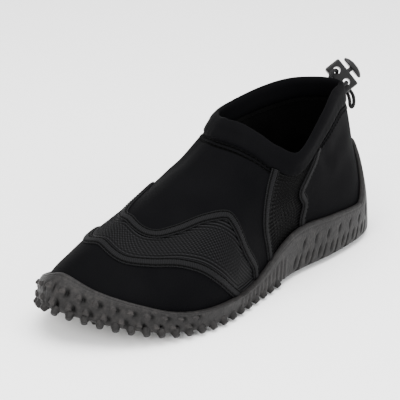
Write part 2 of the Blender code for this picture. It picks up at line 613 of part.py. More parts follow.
def make_lock(group, cutters, material):
    """Two-hole cord lock: rounded block with the cord's holes and a bore for the button's stem."""
    work = bmesh.new()
    size = Matrix.Diagonal((LOCK_WIDTH, LOCK_HEIGHT, LOCK_DEPTH, 1))
    bmesh.ops.create_cube(work, size=1.0, matrix=size)
    bmesh.ops.bevel(work, geom=list(work.edges), offset=LOCK_EDGE, segments=2, affect="EDGES",
                    profile=0.5)
    mesh = bpy.data.meshes.new("cord_lock_body")
    work.to_mesh(mesh)
    work.free()
    lock = object_from("cord_lock_body", mesh, group, material)
    lock.matrix_world = lock_matrix()
    depth = STEM_HOLD + BUTTON_TRAVEL + 2 * STEM_CLEARANCE
    margin = 0.002
    bore = (STEM_RADIUS + STEM_CLEARANCE, depth + margin,
            Matrix.Translation((0, LOCK_HEIGHT / 2 - depth / 2 + margin / 2, 0))
            @ Matrix.Rotation(math.pi / 2, 4, "X"))
    holes = [(LOCK_HOLE / 2, LOCK_DEPTH + 2 * margin,
              Matrix.Translation((side * LOCK_HOLE_SPACING / 2, 0, 0))) for side in (-1, 1)]
    for number, (radius, length, place) in enumerate([bore, *holes]):
        name = f"lock_hole_{number}"
        tool = object_from(name, cylinder_mesh(name, radius, length, 20), cutters)
        tool.matrix_world = lock_matrix() @ place
        tool.hide_render = True
        tool.display_type = "WIRE"
        cut = lock.modifiers.new(name, "BOOLEAN")
        cut.operation = "DIFFERENCE"
        cut.object = tool
    return lock


def make_button(group, material):
    """Push button of the lock: an oval domed head on a stem that slides in the bore."""
    base = LOCK_HEIGHT / 2 + BUTTON_TRAVEL + SEAT_GAP
    wide, deep = BUTTON_WIDTH / 2, BUTTON_DEPTH / 2
    # height along the stem, half width, half depth
    profile = [(LOCK_HEIGHT / 2 - STEM_HOLD, STEM_RADIUS, STEM_RADIUS),
               (base, STEM_RADIUS, STEM_RADIUS)]
    profile += [(base + p.up * BUTTON_THICKNESS, p.wide * wide, p.deep * deep) for p in BUTTON_HEAD]
    turn = np.linspace(0, 2 * math.pi, 24, endpoint=False)
    rings = [np.stack([half * np.cos(turn), np.full(turn.shape, up), depth * np.sin(turn)], -1)
             for up, half, depth in profile]
    button = object_from("cord_lock_button", mesh_from_rings("cord_lock_button", rings, "capped"),
                         group, material)
    button.matrix_world = lock_matrix()
    return button


def make_drawcord(group, material):
    """Elastic cord as one round tube along its route."""
    curve = bpy.data.curves.new("drawcord", "CURVE")
    curve.dimensions = "3D"
    curve.bevel_depth = CORD_DIAMETER / 2
    curve.bevel_resolution = 2
    curve.use_fill_caps = True
    points = curve_through(CORD_ROUTE, CORD_POINTS)
    spline = curve.splines.new("POLY")
    spline.points.add(len(points) - 1)
    for target, (x, y, z) in zip(spline.points, points):
        target.co = (x, y, z, 1.0)
    curve.materials.append(material)
    cord = bpy.data.objects.new("drawcord", curve)
    group.objects.link(cord)
    return cord


def stand_on_floor(pieces, everything):
    """Moves everything so that the middle of the shoe itself is over the origin and it stands at Z = 0."""
    bpy.context.view_layer.update()
    seen = bpy.context.evaluated_depsgraph_get()
    points = [piece.matrix_world @ vertex.co for piece in pieces
              for vertex in piece.evaluated_get(seen).to_mesh().vertices]
    low = [min(p[k] for p in points) for k in range(3)]
    high = [max(p[k] for p in points) for k in range(3)]
    shift = Vector((-(low[0] + high[0]) / 2, -(low[1] + high[1]) / 2, -low[2]))
    for piece in everything:
        piece.matrix_world = Matrix.Translation(shift) @ piece.matrix_world


def main():
    for old in list(bpy.data.objects):
        bpy.data.objects.remove(old, do_unlink=True)
    shoe = collection_named("water_shoe")
    cutters = collection_named("cutters")
    neoprene = finish_named("neoprene", (0.010, 0.010, 0.011), 0.75)
    binding = finish_named("knit_tape", (0.024, 0.024, 0.025), 0.8)
    rubber = finish_named("sole_rubber", (0.050, 0.048, 0.048), 0.6)
    foam = finish_named("footbed_foam", (0.016, 0.016, 0.017), 0.85)
    plastic = finish_named("lock_plastic", (0.020, 0.020, 0.021), 0.45)
    elastic = finish_named("elastic_cord", (0.014, 0.014, 0.015), 0.7)
    body = [make_outsole(shoe, cutters, rubber), make_insole(shoe, foam), make_upper(shoe, neoprene),
            make_cuff(shoe, neoprene)]
    for name, marks in TAPES.items():
        make_tape(name, marks, shoe, binding)
    make_lock(shoe, cutters, plastic)
    make_button(shoe, plastic)
    make_drawcord(shoe, elastic)
    stand_on_floor(body, [*shoe.objects, *cutters.objects])


main()
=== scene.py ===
# Looks for the water shoe, left foot: stretch upper with taped seams on a studded cup sole.
import math

import bmesh
import bpy
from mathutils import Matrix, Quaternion, Vector
import numpy as np


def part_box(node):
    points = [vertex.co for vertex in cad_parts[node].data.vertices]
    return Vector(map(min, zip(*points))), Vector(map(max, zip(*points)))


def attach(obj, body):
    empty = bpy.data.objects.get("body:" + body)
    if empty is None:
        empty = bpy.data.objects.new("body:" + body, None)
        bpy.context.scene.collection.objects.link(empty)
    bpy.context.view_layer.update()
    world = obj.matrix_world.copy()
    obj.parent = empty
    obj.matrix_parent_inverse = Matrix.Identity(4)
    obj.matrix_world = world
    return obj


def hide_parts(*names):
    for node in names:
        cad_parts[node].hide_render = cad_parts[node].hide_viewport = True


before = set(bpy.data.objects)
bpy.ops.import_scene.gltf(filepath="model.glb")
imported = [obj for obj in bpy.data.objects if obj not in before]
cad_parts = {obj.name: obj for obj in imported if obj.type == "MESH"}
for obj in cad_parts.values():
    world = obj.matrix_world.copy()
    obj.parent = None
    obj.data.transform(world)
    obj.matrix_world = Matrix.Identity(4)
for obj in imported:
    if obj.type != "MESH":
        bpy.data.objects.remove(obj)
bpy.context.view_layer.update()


# The shoe's own sizes, in metres, as the solids have them
shoe = {
    "length": 0.285,
    "ballWidth": 0.103,
    "heelWidth": 0.070,
    "instepHeight": 0.109,
    "heelHeight": 0.110,
    "outerDip": 0.0875,
    "innerDip": 0.1035,
    "toeSpring": 0.020,
    "springFrom": 0.70,        # share of the length, where the sole starts to rise
    "springPower": 2.2,
    "archRise": 0.004,
    "archAt": 0.42,            # shares of the length
    "archReach": 0.10,
    "wall": 0.0025,            # bonded stretch cloth
    "cuffBand": 0.015,
    "cuffThickness": 0.0048,
    "soleWall": 0.0036,
    "soleFloor": 0.0065,
    "rimHeight": 0.017,
    "counterRise": 0.036,
    "counterReach": 0.046,
    "counterTop": 0.006,
    "studHeight": 0.003,
    "seat": 0.0003,            # between pieces that touch
}

# Ribs round the shoe from the heel over the outer side, with these columns:
# x and out: place on the sole's outline, shares of length and width; rim: share of rimHeight
# cx and cy: cuff's top edge; cz: its height, share of the named one
# h1, z1, h2, z2: the rib's two handles, shares of its run inwards and of its rise
ribColumns = ("x", "width", "out", "rim", "cx", "cy", "height", "cz", "h1", "z1", "h2", "z2")
ribRows = [
    (0.000, "heelWidth", 0.00, 1.65, 0.067, 0.00, "heelHeight", 0.99, 0.10, 0.35, 0.60, 0.72),
    (0.030, "heelWidth", 0.30, 1.64, 0.090, 0.10, "heelHeight", 0.99, 0.10, 0.33, 0.65, 0.68),
    (0.100, "heelWidth", 0.46, 1.62, 0.150, 0.21, "heelHeight", 1.00, 0.08, 0.33, 0.65, 0.68),
    (0.230, "heelWidth", 0.53, 1.83, 0.240, 0.37, "heelHeight", 0.93, 0.08, 0.33, 0.65, 0.68),
    (0.390, "heelWidth", 0.53, 1.92, 0.365, 0.51, "outerDip", 1.00, 0.10, 0.33, 0.80, 0.68),
    (0.550, "ballWidth", 0.43, 0.84, 0.425, 0.29, "outerDip", 1.08, 0.00, 0.38, 0.70, 0.66),
    (0.690, "ballWidth", 0.487, 0.84, 0.450, 0.20, "instepHeight", 0.94, -0.03, 0.38, 0.70, 0.61),
    (0.800, "ballWidth", 0.437, 1.06, 0.465, 0.14, "instepHeight", 0.98, -0.04, 0.36, 0.76, 0.58),
    (0.885, "ballWidth", 0.310, 1.50, 0.470, 0.085, "instepHeight", 0.995, -0.03, 0.32, 0.82, 0.56),
    (0.955, "ballWidth", 0.120, 1.95, 0.473, 0.035, "instepHeight", 1.00, -0.02, 0.30, 0.86, 0.54),
    (1.000, "ballWidth", -0.125, 2.40, 0.474, -0.01, "instepHeight", 1.00, -0.02, 0.30, 0.86, 0.54),
    (0.965, "ballWidth", -0.335, 1.95, 0.470, -0.055, "instepHeight", 1.00, -0.02, 0.32, 0.84, 0.54),
    (0.885, "ballWidth", -0.475, 1.50, 0.462, -0.11, "instepHeight", 0.99, -0.03, 0.35, 0.80, 0.55),
    (0.770, "ballWidth", -0.513, 1.18, 0.440, -0.19, "instepHeight", 0.98, -0.03, 0.38, 0.72, 0.58),
    (0.620, "ballWidth", -0.410, 1.00, 0.400, -0.27, "innerDip", 1.02, 0.00, 0.36, 0.68, 0.64),
    (0.450, "heelWidth", -0.430, 1.30, 0.330, -0.51, "innerDip", 1.00, 0.05, 0.33, 0.70, 0.70),
    (0.260, "heelWidth", -0.475, 1.80, 0.220, -0.48, "heelHeight", 0.975, 0.05, 0.33, 0.65, 0.70),
    (0.100, "heelWidth", -0.435, 1.62, 0.140, -0.36, "heelHeight", 1.00, 0.08, 0.33, 0.60, 0.70),
    (0.030, "heelWidth", -0.290, 1.64, 0.086, -0.17, "heelHeight", 1.00, 0.10, 0.33, 0.60, 0.70),
]
toeRow = 10

# Tape routes: turn round the shoe (0 heel seam, one half toe tip) and climb (0 rim, 1 cuff seam)
tapeRoutes = {
    "vamp_tape": [
        (0.259, 0.02), (0.267, 0.18), (0.300, 0.43), (0.336, 0.59), (0.359, 0.62), (0.394, 0.58),
        (0.426, 0.49), (0.451, 0.43), (0.485, 0.42), (0.520, 0.46), (0.575, 0.57), (0.612, 0.62),
        (0.640, 0.59), (0.668, 0.44), (0.695, 0.20), (0.710, 0.00)],
    "toe_tape": [
        (0.293, 0.00), (0.327, 0.18), (0.359, 0.29), (0.392, 0.32), (0.430, 0.28), (0.461, 0.25),
        (0.492, 0.26), (0.536, 0.30), (0.580, 0.33), (0.620, 0.27), (0.652, 0.13), (0.675, 0.00)],
    "gusset_tape_front_outer": [
        (0.233, 0.00), (0.242, 0.25), (0.256, 0.51), (0.264, 0.79), (0.261, 1.00)],
    "gusset_tape_rear_outer": [
        (0.177, 0.00), (0.177, 0.13), (0.174, 0.36), (0.184, 0.60), (0.175, 0.74), (0.160, 0.87),
        (0.146, 1.00)],
    "gusset_tape_front_inner": [
        (0.768, 0.00), (0.757, 0.24), (0.746, 0.50), (0.738, 0.78), (0.741, 1.00)],
    "gusset_tape_rear_inner": [
        (0.826, 0.00), (0.823, 0.20), (0.820, 0.45), (0.826, 0.70), (0.838, 0.86), (0.850, 1.00)],
}


# Surface of the shoe, worked out from the ribs

def smoothStep(x):
    x = np.clip(x, 0, 1)
    return x * x * (3 - 2 * x)


def loopThrough(knots, values, at):
    # closed cubic through the values: each span keeps the slope between its neighbours
    k = np.concatenate([knots[-2:] - 1, knots, knots[:3] + 1])
    p = np.concatenate([values[-2:], values, values[:3]])
    slope = np.empty_like(p)
    slope[1:-1] = (p[2:] - p[:-2]) / (k[2:] - k[:-2])
    at = np.asarray(at, float) % 1.0
    i = np.searchsorted(k, at, side="right") - 1
    span = k[i + 1] - k[i]
    t = (at - k[i]) / span
    return ((2 * t**3 - 3 * t**2 + 1) * p[i] + (t**3 - 2 * t**2 + t) * span * slope[i]
            + (3 * t**2 - 2 * t**3) * p[i + 1] + (t**3 - t**2) * span * slope[i + 1])


def ribValues():
    # each column as numbers: widths and heights are looked up, places become metres
    rows = [dict(zip(ribColumns, row)) for row in ribRows]
    values = {key: np.array([row[key] for row in rows]) for key in ("rim", "h1", "z1", "h2", "z2")}
    values["x"] = np.array([row["x"] * shoe["length"] for row in rows])
    values["y"] = np.array([row["out"] * shoe[row["width"]] for row in rows])
    values["cx"] = np.array([row["cx"] * shoe["length"] for row in rows])
    values["cy"] = np.array([row["cy"] * shoe[row["width"]] for row in rows])
    values["cz"] = np.array([row["cz"] * shoe[row["height"]] for row in rows])
    return values


def ribPlaces():
    # 0 at the heel seam, one half at the toe tip, by the distance between feet
    foot = np.column_stack([ribs["x"], ribs["y"]])
    step = np.linalg.norm(np.roll(foot, -1, 0) - foot, axis=1)
    outer = np.concatenate([[0], np.cumsum(step[:toeRow])])
    inner = np.concatenate([[0], np.cumsum(step[toeRow:])])
    return np.concatenate([0.5 * outer[:-1] / outer[-1], 0.5 + 0.5 * inner[:-1] / inner[-1]])


ribs = ribValues()
ribKnots = ribPlaces()


def around(column, u):
    return loopThrough(ribKnots, ribs[column], u)


def outline(u, inset=0.0):
    # the sole's outline, moved inwards square to itself
    def place(t):
        return np.stack([around("x", t), around("y", t)], -1)
    small = 0.002
    along = place(u + small) - place(u - small)
    along /= np.linalg.norm(along, axis=-1, keepdims=True)
    inwards = np.stack([along[..., 1], -along[..., 0]], -1)
    return place(u) + np.asarray(inset)[..., None] * inwards


def treadHeight(x, y):
    # flat ground line with toe spring as a power of the way past the ball, and a bell at the arch
    share = x / shoe["length"]
    past = np.clip((share - shoe["springFrom"]) / (1 - shoe["springFrom"]), 0, None)
    spring = shoe["toeSpring"] * past ** shoe["springPower"]
    arch = shoe["archRise"] * np.exp(-((share - shoe["archAt"]) / shoe["archReach"]) ** 2)
    return shoe["studHeight"] + spring + arch * (0.5 - y / shoe["heelWidth"])


def ribPoint(u, v):
    # cubic rib from the sole's floor to the cuff's top, run and rise each with two handles
    u, v = np.broadcast_arrays(np.asarray(u, float), np.asarray(v, float))
    foot = outline(u, shoe["soleWall"] + shoe["seat"])
    floor = treadHeight(foot[..., 0], foot[..., 1]) + shoe["soleFloor"] + shoe["seat"]
    b1 = 3 * v * (1 - v) ** 2
    b2 = 3 * v**2 * (1 - v)
    run = b1 * around("h1", u) + b2 * around("h2", u) + v**3
    rise = b1 * around("z1", u) + b2 * around("z2", u) + v**3
    x = foot[..., 0] + (around("cx", u) - foot[..., 0]) * run
    y = foot[..., 1] + (around("cy", u) - foot[..., 1]) * run
    z = floor + (around("cz", u) - floor) * rise
    return np.stack([x, y, z], -1)


def shellNormal(u, v):
    small = 0.004
    along = ribPoint(u + small, v) - ribPoint(u - small, v)
    up = ribPoint(u, v + small) - ribPoint(u, v - small)
    normal = np.cross(up, along)
    return normal / np.linalg.norm(normal, axis=-1, keepdims=True)


def evenTurns(count):
    # steps round the shoe, closer together at heel and toe
    t = np.arange(count) / count
    return t - 0.6 * np.sin(4 * math.pi * t) / (4 * math.pi)


def findShift():
    # the solids stand centred over the origin: the upper's box gives how far they were moved
    u = evenTurns(64)
    top = shareBelowTop(u, shoe["cuffBand"] + shoe["seat"])
    v = top[:, None] * np.linspace(0, 1, 9)[None, :]
    grid = np.broadcast_to(u[:, None], v.shape)
    outer = ribPoint(grid, v)
    inner = outer - shellNormal(grid, v) * shoe["wall"]
    own = np.concatenate([outer.reshape(-1, 3), inner.reshape(-1, 3)])
    low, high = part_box("upper")
    return (np.array(low) + np.array(high) - own.min(0) - own.max(0)) / 2


def shareAtHeight(u, height):
    steps = np.linspace(0, 1, 201)
    heights = ribPoint(u[:, None], steps[None, :])[..., 2]
    return np.array([np.interp(h, line, steps) for h, line in zip(height, heights)])


def shareBelowTop(u, distance):
    steps = np.linspace(0, 1, 201)
    points = ribPoint(u[:, None], steps[None, :])
    run = np.cumsum(np.linalg.norm(np.diff(points, axis=1), axis=-1), axis=1)
    run = np.concatenate([np.zeros((len(u), 1)), run], 1)
    apart = np.broadcast_to(distance, len(u))
    return np.array([np.interp(line[-1] - d, line, steps) for d, line in zip(apart, run)])


def rimHeight(u):
    # the sole's rim, with a counter that rises as a smooth step to a level top at the heel seam
    offSeam = np.abs((u + 0.5) % 1.0 - 0.5) * girth
    sweep = smoothStep((shoe["counterReach"] - offSeam) / (shoe["counterReach"] - shoe["counterTop"]))
    return shoe["rimHeight"] * around("rim", u) + shoe["counterRise"] * sweep


girth = np.linalg.norm(np.diff(outline(np.linspace(0, 1, 401)), axis=0), axis=1).sum()
shoeShift = findShift()
sampleTurns = np.arange(960) / 960
rimShare = shareAtHeight(sampleTurns, rimHeight(sampleTurns))
seamShare = shareBelowTop(sampleTurns, shoe["cuffBand"])


def sampled(table, u):
    return np.interp(np.asarray(u) % 1.0, sampleTurns, table, period=1.0)


def climbToShare(u, climb):
    low = sampled(rimShare, u)
    return low + (sampled(seamShare, u) - low) * climb


def shellPoint(u, v, lift=0.0):
    u, v = np.broadcast_arrays(np.asarray(u, float), np.asarray(v, float))
    return ribPoint(u, v) + shellNormal(u, v) * np.asarray(lift)[..., None] + shoeShift


def spanPoint(a, b, c, d, t):
    # cubic from b to c, t of the way, with the slopes between their neighbours at its ends
    return 0.5 * (2 * b + (c - a) * t + (2 * a - 5 * b + 4 * c - d) * t**2
                  + (3 * b - a - 3 * c + d) * t**3)


def curveThrough(points, count):
    # open smooth curve through the listed points
    p = np.asarray(points, float)
    p = np.concatenate([[2 * p[0] - p[1]], p, [2 * p[-1] - p[-2]]])
    at = np.linspace(0, len(points) - 1, count)
    i = np.minimum(at.astype(int), len(points) - 2)
    return spanPoint(p[i], p[i + 1], p[i + 2], p[i + 3], (at - i)[:, None])


print("shoe surface ready, shift", np.round(shoeShift * 1000, 2))


# Meshes from grids

def gridFaces(rows, columns, closedRows=False, closedColumns=False):
    # corner indices of every cell, with the last row or column joined to the first if closed
    a, b = np.meshgrid(np.arange(rows if closedRows else rows - 1),
                       np.arange(columns if closedColumns else columns - 1), indexing="ij")
    corners = [(a, b), (a + 1, b), (a + 1, b + 1), (a, b + 1)]
    faces = [(x % rows) * columns + y % columns for x, y in corners]
    return np.stack(faces, -1).reshape(-1, 4), corners


def pieceFrom(name, points, faces, material, turnOut=True):
    mesh = bpy.data.meshes.new(name)
    mesh.from_pydata(np.asarray(points).reshape(-1, 3).tolist(), [], faces)
    if turnOut:
        work = bmesh.new()
        work.from_mesh(mesh)
        bmesh.ops.recalc_face_normals(work, faces=work.faces)
        work.to_mesh(mesh)
        work.free()
    mesh.shade_smooth()
    piece = bpy.data.objects.new(name, mesh)
    bpy.context.scene.collection.objects.link(piece)
    for one in (material if isinstance(material, list) else [material]):
        mesh.materials.append(one)
    return piece


def endCaps(rings, sides):
    last = (rings - 1) * sides
    return [list(range(sides)), list(range(last, last + sides))]


def loopPoints(piece):
    # index of the point at each face corner
    index = np.empty(len(piece.data.loops), int)
    piece.data.loops.foreach_get("vertex_index", index)
    return index


def addPattern(piece, corners, along, across):
    # UV map in metres from the grid's own two lengths, so that a pattern follows the surface
    layer = piece.data.uv_layers.new(name="pattern")
    uv = np.stack([np.stack([along[x, y], across[x, y]], -1) for x, y in corners], -2)
    layer.data.foreach_set("uv", uv.reshape(-1))


def markPoints(piece, name, values):
    layer = piece.data.attributes.new(name, "FLOAT", "POINT")
    layer.data.foreach_set("value", np.asarray(values, float).reshape(-1))


def runAlong(points):
    return np.concatenate([[0], np.cumsum(np.linalg.norm(np.diff(points, axis=0), axis=1))])


# Materials

def linear(hexColour):
    value = [int(hexColour[i:i + 2], 16) / 255 for i in (1, 3, 5)]
    return tuple(c / 12.92 if c <= 0.04045 else ((c + 0.055) / 1.055) ** 2.4 for c in value) + (1.0,)


def addNode(tree, kind, settings=None, links=None):
    # one node with its sockets or properties set, and its inputs linked by name or number
    node = tree.nodes.new(kind)
    for key, value in (settings or {}).items():
        if isinstance(key, int) or key in node.inputs:
            node.inputs[key].default_value = value
        else:
            setattr(node, key, value)
    for key, source in (links or {}).items():
        tree.links.new(source, node.inputs[key])
    return node


def newFinish(name, shaderSettings):
    material = bpy.data.materials.new(name)
    material.use_nodes = True
    tree = material.node_tree
    shader = tree.nodes["Principled BSDF"]
    for key, value in shaderSettings.items():
        shader.inputs[key].default_value = value
    return material, tree, shader


def colourRamp(tree, factor, stops):
    ramp = addNode(tree, "ShaderNodeValToRGB", links={"Fac": factor})
    ramp.color_ramp.elements[0].position, ramp.color_ramp.elements[1].position = stops[0][0], stops[-1][0]
    ramp.color_ramp.elements[0].color, ramp.color_ramp.elements[1].color = stops[0][1], stops[-1][1]
    for place, colour in stops[1:-1]:
        ramp.color_ramp.elements.new(place).color = colour
    return ramp


def bumpFrom(tree, shader, source, strength, distance):
    bump = addNode(tree, "ShaderNodeBump", {"Strength": strength, "Distance": distance},
                   {"Height": source.outputs[0]})
    tree.links.new(bump.outputs[0], shader.inputs["Normal"])


def shadedBy(tree, shader, colour, shade):
    # base colour: the finish's own colour times a shade
    mixed = addNode(tree, "ShaderNodeVectorMath", {"operation": "MULTIPLY"},
                    {0: colour.outputs[0], 1: shade.outputs[0]})
    tree.links.new(mixed.outputs[0], shader.inputs["Base Color"])


def objectCoordinates(tree):
    return addNode(tree, "ShaderNodeTexCoord").outputs["Object"]


def patternCoordinates(tree):
    return addNode(tree, "ShaderNodeUVMap", {"uv_map": "pattern"}).outputs["UV"]


neopreneLook = {"dark": "#040405", "light": "#060607", "fineKnit": 0.0009, "shadeSpots": 0.030, "bump": 0.22}


def bondedJersey(name, look):
    # foam rubber faced with nylon jersey, bonded flat: near black, matt, with a faint soft sheen
    material, tree, shader = newFinish(name, {"Roughness": 0.72, "Sheen Weight": 0.002,
                                              "Sheen Roughness": 0.45, "Specular IOR Level": 0.018})
    where = objectCoordinates(tree)
    spots = addNode(tree, "ShaderNodeTexNoise", {"Scale": 1 / look["shadeSpots"], "Detail": 3.0},
                    {"Vector": where})
    colour = colourRamp(tree, spots.outputs[0], [(0.3, linear(look["dark"])), (0.7, linear(look["light"]))])
    # painted shade: the seam mark darkens the cloth along the sewn rows below the cuff, standing in for
    # shadow in the stitch troughs
    seam = addNode(tree, "ShaderNodeAttribute", {"attribute_name": "seam"})
    shade = colourRamp(tree, seam.outputs["Fac"], [(0.0, (1, 1, 1, 1)), (0.8, linear("#303030"))])
    shadedBy(tree, shader, colour, shade)
    # the jersey's loops, drawn twice as coarse as the real 0.45 mm
    knit = addNode(tree, "ShaderNodeTexVoronoi", {"Scale": 1 / look["fineKnit"]}, {"Vector": where})
    bumpFrom(tree, shader, knit, look["bump"], 0.0003)
    return material


liningLook = {"dark": "#030303", "light": "#060606", "fineKnit": 0.0013, "shadeSpots": 0.020, "bump": 0.35}

tapeLook = {"dark": "#0a0a0b", "light": "#121213", "rib": 0.0011, "bump": 0.5,
            "channelAt": 0.0021, "channelShade": "#262626"}


def knitTape(name, look):
    # polyester binding tape, knitted in fine cross ribs: a shade lighter than the cloth
    material, tree, shader = newFinish(name, {"Roughness": 0.62, "Sheen Weight": 0.003,
                                              "Specular IOR Level": 0.035})
    where = patternCoordinates(tree)
    # a wave texture of scale 1 has a band every 0.314
    ribs = addNode(tree, "ShaderNodeTexWave",
                   {"Scale": 0.314 / look["rib"], "Distortion": 0.6, "Detail": 1.0}, {"Vector": where})
    colour = colourRamp(tree, ribs.outputs[0], [(0.1, linear(look["dark"])), (0.8, linear(look["light"]))])
    # the two sewn channels: distance from each, taken across the tape, darkens the cloth there as painted
    # shade in the channels
    across = addNode(tree, "ShaderNodeSeparateXYZ", links={0: where}).outputs[1]
    middle = addNode(tree, "ShaderNodeMath", {"operation": "ABSOLUTE"}, {0: across})
    fromRow = addNode(tree, "ShaderNodeMath", {"operation": "SUBTRACT", 1: look["channelAt"]},
                      {0: middle.outputs[0]})
    apart = addNode(tree, "ShaderNodeMath", {"operation": "ABSOLUTE"}, {0: fromRow.outputs[0]})
    millimetres = addNode(tree, "ShaderNodeMath", {"operation": "MULTIPLY", 1: 1000.0}, {0: apart.outputs[0]})
    shade = colourRamp(tree, millimetres.outputs[0],
                       [(0.25, linear(look["channelShade"])), (0.75, (1, 1, 1, 1))])
    shadedBy(tree, shader, colour, shade)
    bumpFrom(tree, shader, ribs, look["bump"], 0.0003)
    return material


meshLook = {"hole": "#010101", "yarn": "#0a0a0b", "crownHighlight": "#1a1a1b", "loop": 0.0009, "bump": 0.4}


def spacerMesh(name, look):
    # open polyester mesh coloured by its yarn height: painted shade in the holes, the yarns' own dark grey,
    # and painted highlights on the crowns
    material, tree, shader = newFinish(name, {"Roughness": 0.55, "Sheen Weight": 0.002,
                                              "Specular IOR Level": 0.03})
    height = addNode(tree, "ShaderNodeAttribute", {"attribute_name": "yarn"})
    colour = colourRamp(tree, height.outputs["Fac"],
                        [(0.15, linear(look["hole"])), (0.55, linear(look["yarn"])),
                         (0.92, linear(look["crownHighlight"]))])
    tree.links.new(colour.outputs[0], shader.inputs["Base Color"])
    where = patternCoordinates(tree)
    loops = addNode(tree, "ShaderNodeTexVoronoi", {"Scale": 1 / look["loop"]}, {"Vector": where})
    bumpFrom(tree, shader, loops, look["bump"], 0.0002)
    return material


rubberLook = {"dark": "#121111", "mid": "#1b1a1a", "light": "#282625", "recessShade": "#505050", "crumb": 0.0013,
              "mottle": 0.0036, "bump": 0.6,
              "flat": (0.9, 0.9, 0.9, 1), "raisedHighlight": (1.35, 1.32, 1.3, 1)}   # shades times the colour


def mouldedRubber(name, look):
    # pebbled thermoplastic rubber, warm grey, with painted highlights: the colour is mottled paler where the
    # mould's grain would catch light
    material, tree, shader = newFinish(name, {"Roughness": 0.55, "Specular IOR Level": 0.12})
    where = objectCoordinates(tree)
    mottle = addNode(tree, "ShaderNodeTexNoise",
                     {"Scale": 1 / look["mottle"], "Detail": 4.0, "Roughness": 0.7}, {"Vector": where})
    colour = colourRamp(tree, mottle.outputs[0],
                        [(0.30, linear(look["dark"])), (0.52, linear(look["mid"])),
                         (0.75, linear(look["light"]))])
    # painted shade darkens the recesses, and painted highlights pale the raised crowns
    relief = addNode(tree, "ShaderNodeAttribute", {"attribute_name": "relief"})
    shade = colourRamp(tree, relief.outputs["Fac"],
                       [(0.05, linear(look["recessShade"])), (0.5, look["flat"]), (0.95, look["raisedHighlight"])])
    shadedBy(tree, shader, colour, shade)
    crumb = addNode(tree, "ShaderNodeTexNoise", {"Scale": 1 / look["crumb"], "Detail": 2.0},
                    {"Vector": where})
    bumpFrom(tree, shader, crumb, look["bump"], 0.0006)
    return material


plasticLook = {"dark": "#060607", "light": "#0c0c0d", "grain": 0.0007, "bump": 0.15}


def mouldedAcetal(name, look):
    # acetal moulding with a fine spark-eroded grain: satin, with small clear highlights
    material, tree, shader = newFinish(name, {"Roughness": 0.34, "Specular IOR Level": 0.22})
    where = objectCoordinates(tree)
    grain = addNode(tree, "ShaderNodeTexNoise", {"Scale": 1 / look["grain"], "Detail": 2.0},
                    {"Vector": where})
    colour = colourRamp(tree, grain.outputs[0], [(0.3, linear(look["dark"])), (0.8, linear(look["light"]))])
    tree.links.new(colour.outputs[0], shader.inputs["Base Color"])
    bumpFrom(tree, shader, grain, look["bump"], 0.0001)
    return material


cordLook = {"dark": "#060607", "light": "#171718", "strand": 0.0009}


def braidedElastic(name, look):
    # elastic core under a braided polyester sleeve: strands cross in small lozenges
    material, tree, shader = newFinish(name, {"Roughness": 0.6, "Specular IOR Level": 0.12})
    where = patternCoordinates(tree)
    strands = addNode(tree, "ShaderNodeTexChecker",
                      {"Scale": 1 / look["strand"], "Color1": linear(look["dark"]),
                       "Color2": linear(look["light"])}, {"Vector": where})
    tree.links.new(strands.outputs[0], shader.inputs["Base Color"])
    return material


threadLook = {"dark": "#010101", "light": "#040404", "twist": 0.0005}


def sewingThread(name, look):
    # bonded polyester thread, darker than the tape it is sunk in
    material, tree, shader = newFinish(name, {"Roughness": 0.6, "Specular IOR Level": 0.03})
    where = objectCoordinates(tree)
    twist = addNode(tree, "ShaderNodeTexNoise", {"Scale": 1 / look["twist"]}, {"Vector": where})
    shade = colourRamp(tree, twist.outputs[0], [(0.3, linear(look["dark"])), (0.7, linear(look["light"]))])
    tree.links.new(shade.outputs[0], shader.inputs["Base Color"])
    return material


jersey = bondedJersey("bonded_jersey", neopreneLook)
lining = bondedJersey("brushed_lining", liningLook)
binding = knitTape("knitted_binding_tape", tapeLook)
airMesh = spacerMesh("spacer_mesh", meshLook)
rubber = mouldedRubber("moulded_sole_rubber", rubberLook)
acetal = mouldedAcetal("moulded_acetal", plasticLook)
sleeve = braidedElastic("braided_elastic", cordLook)
darkThread = sewingThread("dark_sewing_thread", threadLook)
print("finishes ready")


# Camera and light

camera = {"turn": 41.0, "rise": 22.6, "roll": 0.2, "distance": 1.100, "lens": 151.0,
          "aim": (0.0055, -0.011, 0.054), "photoAim": (0.1425, 0.0, 0.040)}


def placeCamera(look):
    # it stands where the photograph's camera stood, from the fitted aim, and is turned to the one shoe
    turn, rise = math.radians(look["turn"]), math.radians(look["rise"])
    way = Vector((math.cos(turn) * math.cos(rise), math.sin(turn) * math.cos(rise), math.sin(rise)))
    data = bpy.data.cameras.new("photo_camera")
    data.sensor_width = 36.0
    data.lens = look["lens"]
    view = bpy.data.objects.new("photo_camera", data)
    bpy.context.scene.collection.objects.link(view)
    view.location = Vector(look["photoAim"]) + Vector(shoeShift) + way * look["distance"]
    aim = Vector(look["aim"]) - view.location
    view.rotation_mode = "QUATERNION"
    roll = Quaternion((0, 0, 1), math.radians(look["roll"]))
    view.rotation_quaternion = aim.to_track_quat("-Z", "Y") @ roll
    bpy.context.scene.camera = view
    return view


placeCamera(camera)

studio = {"aim": (0, 0, 0.04), "worldStrength": 1.6, "floorHalf": 6.0, "paper": "#fdfdfd"}

lights = [
    # name, place, size, power, colour
    ("overhead_softbox", (0.10, 0.10, 1.30), 1.30, 34.0, "#ffffff"),
    ("front_softbox", (1.20, 0.30, 0.70), 0.80, 16.0, "#fffdfa"),
    ("side_softbox", (-0.20, 1.30, 0.60), 0.80, 12.0, "#fbfdff"),
]


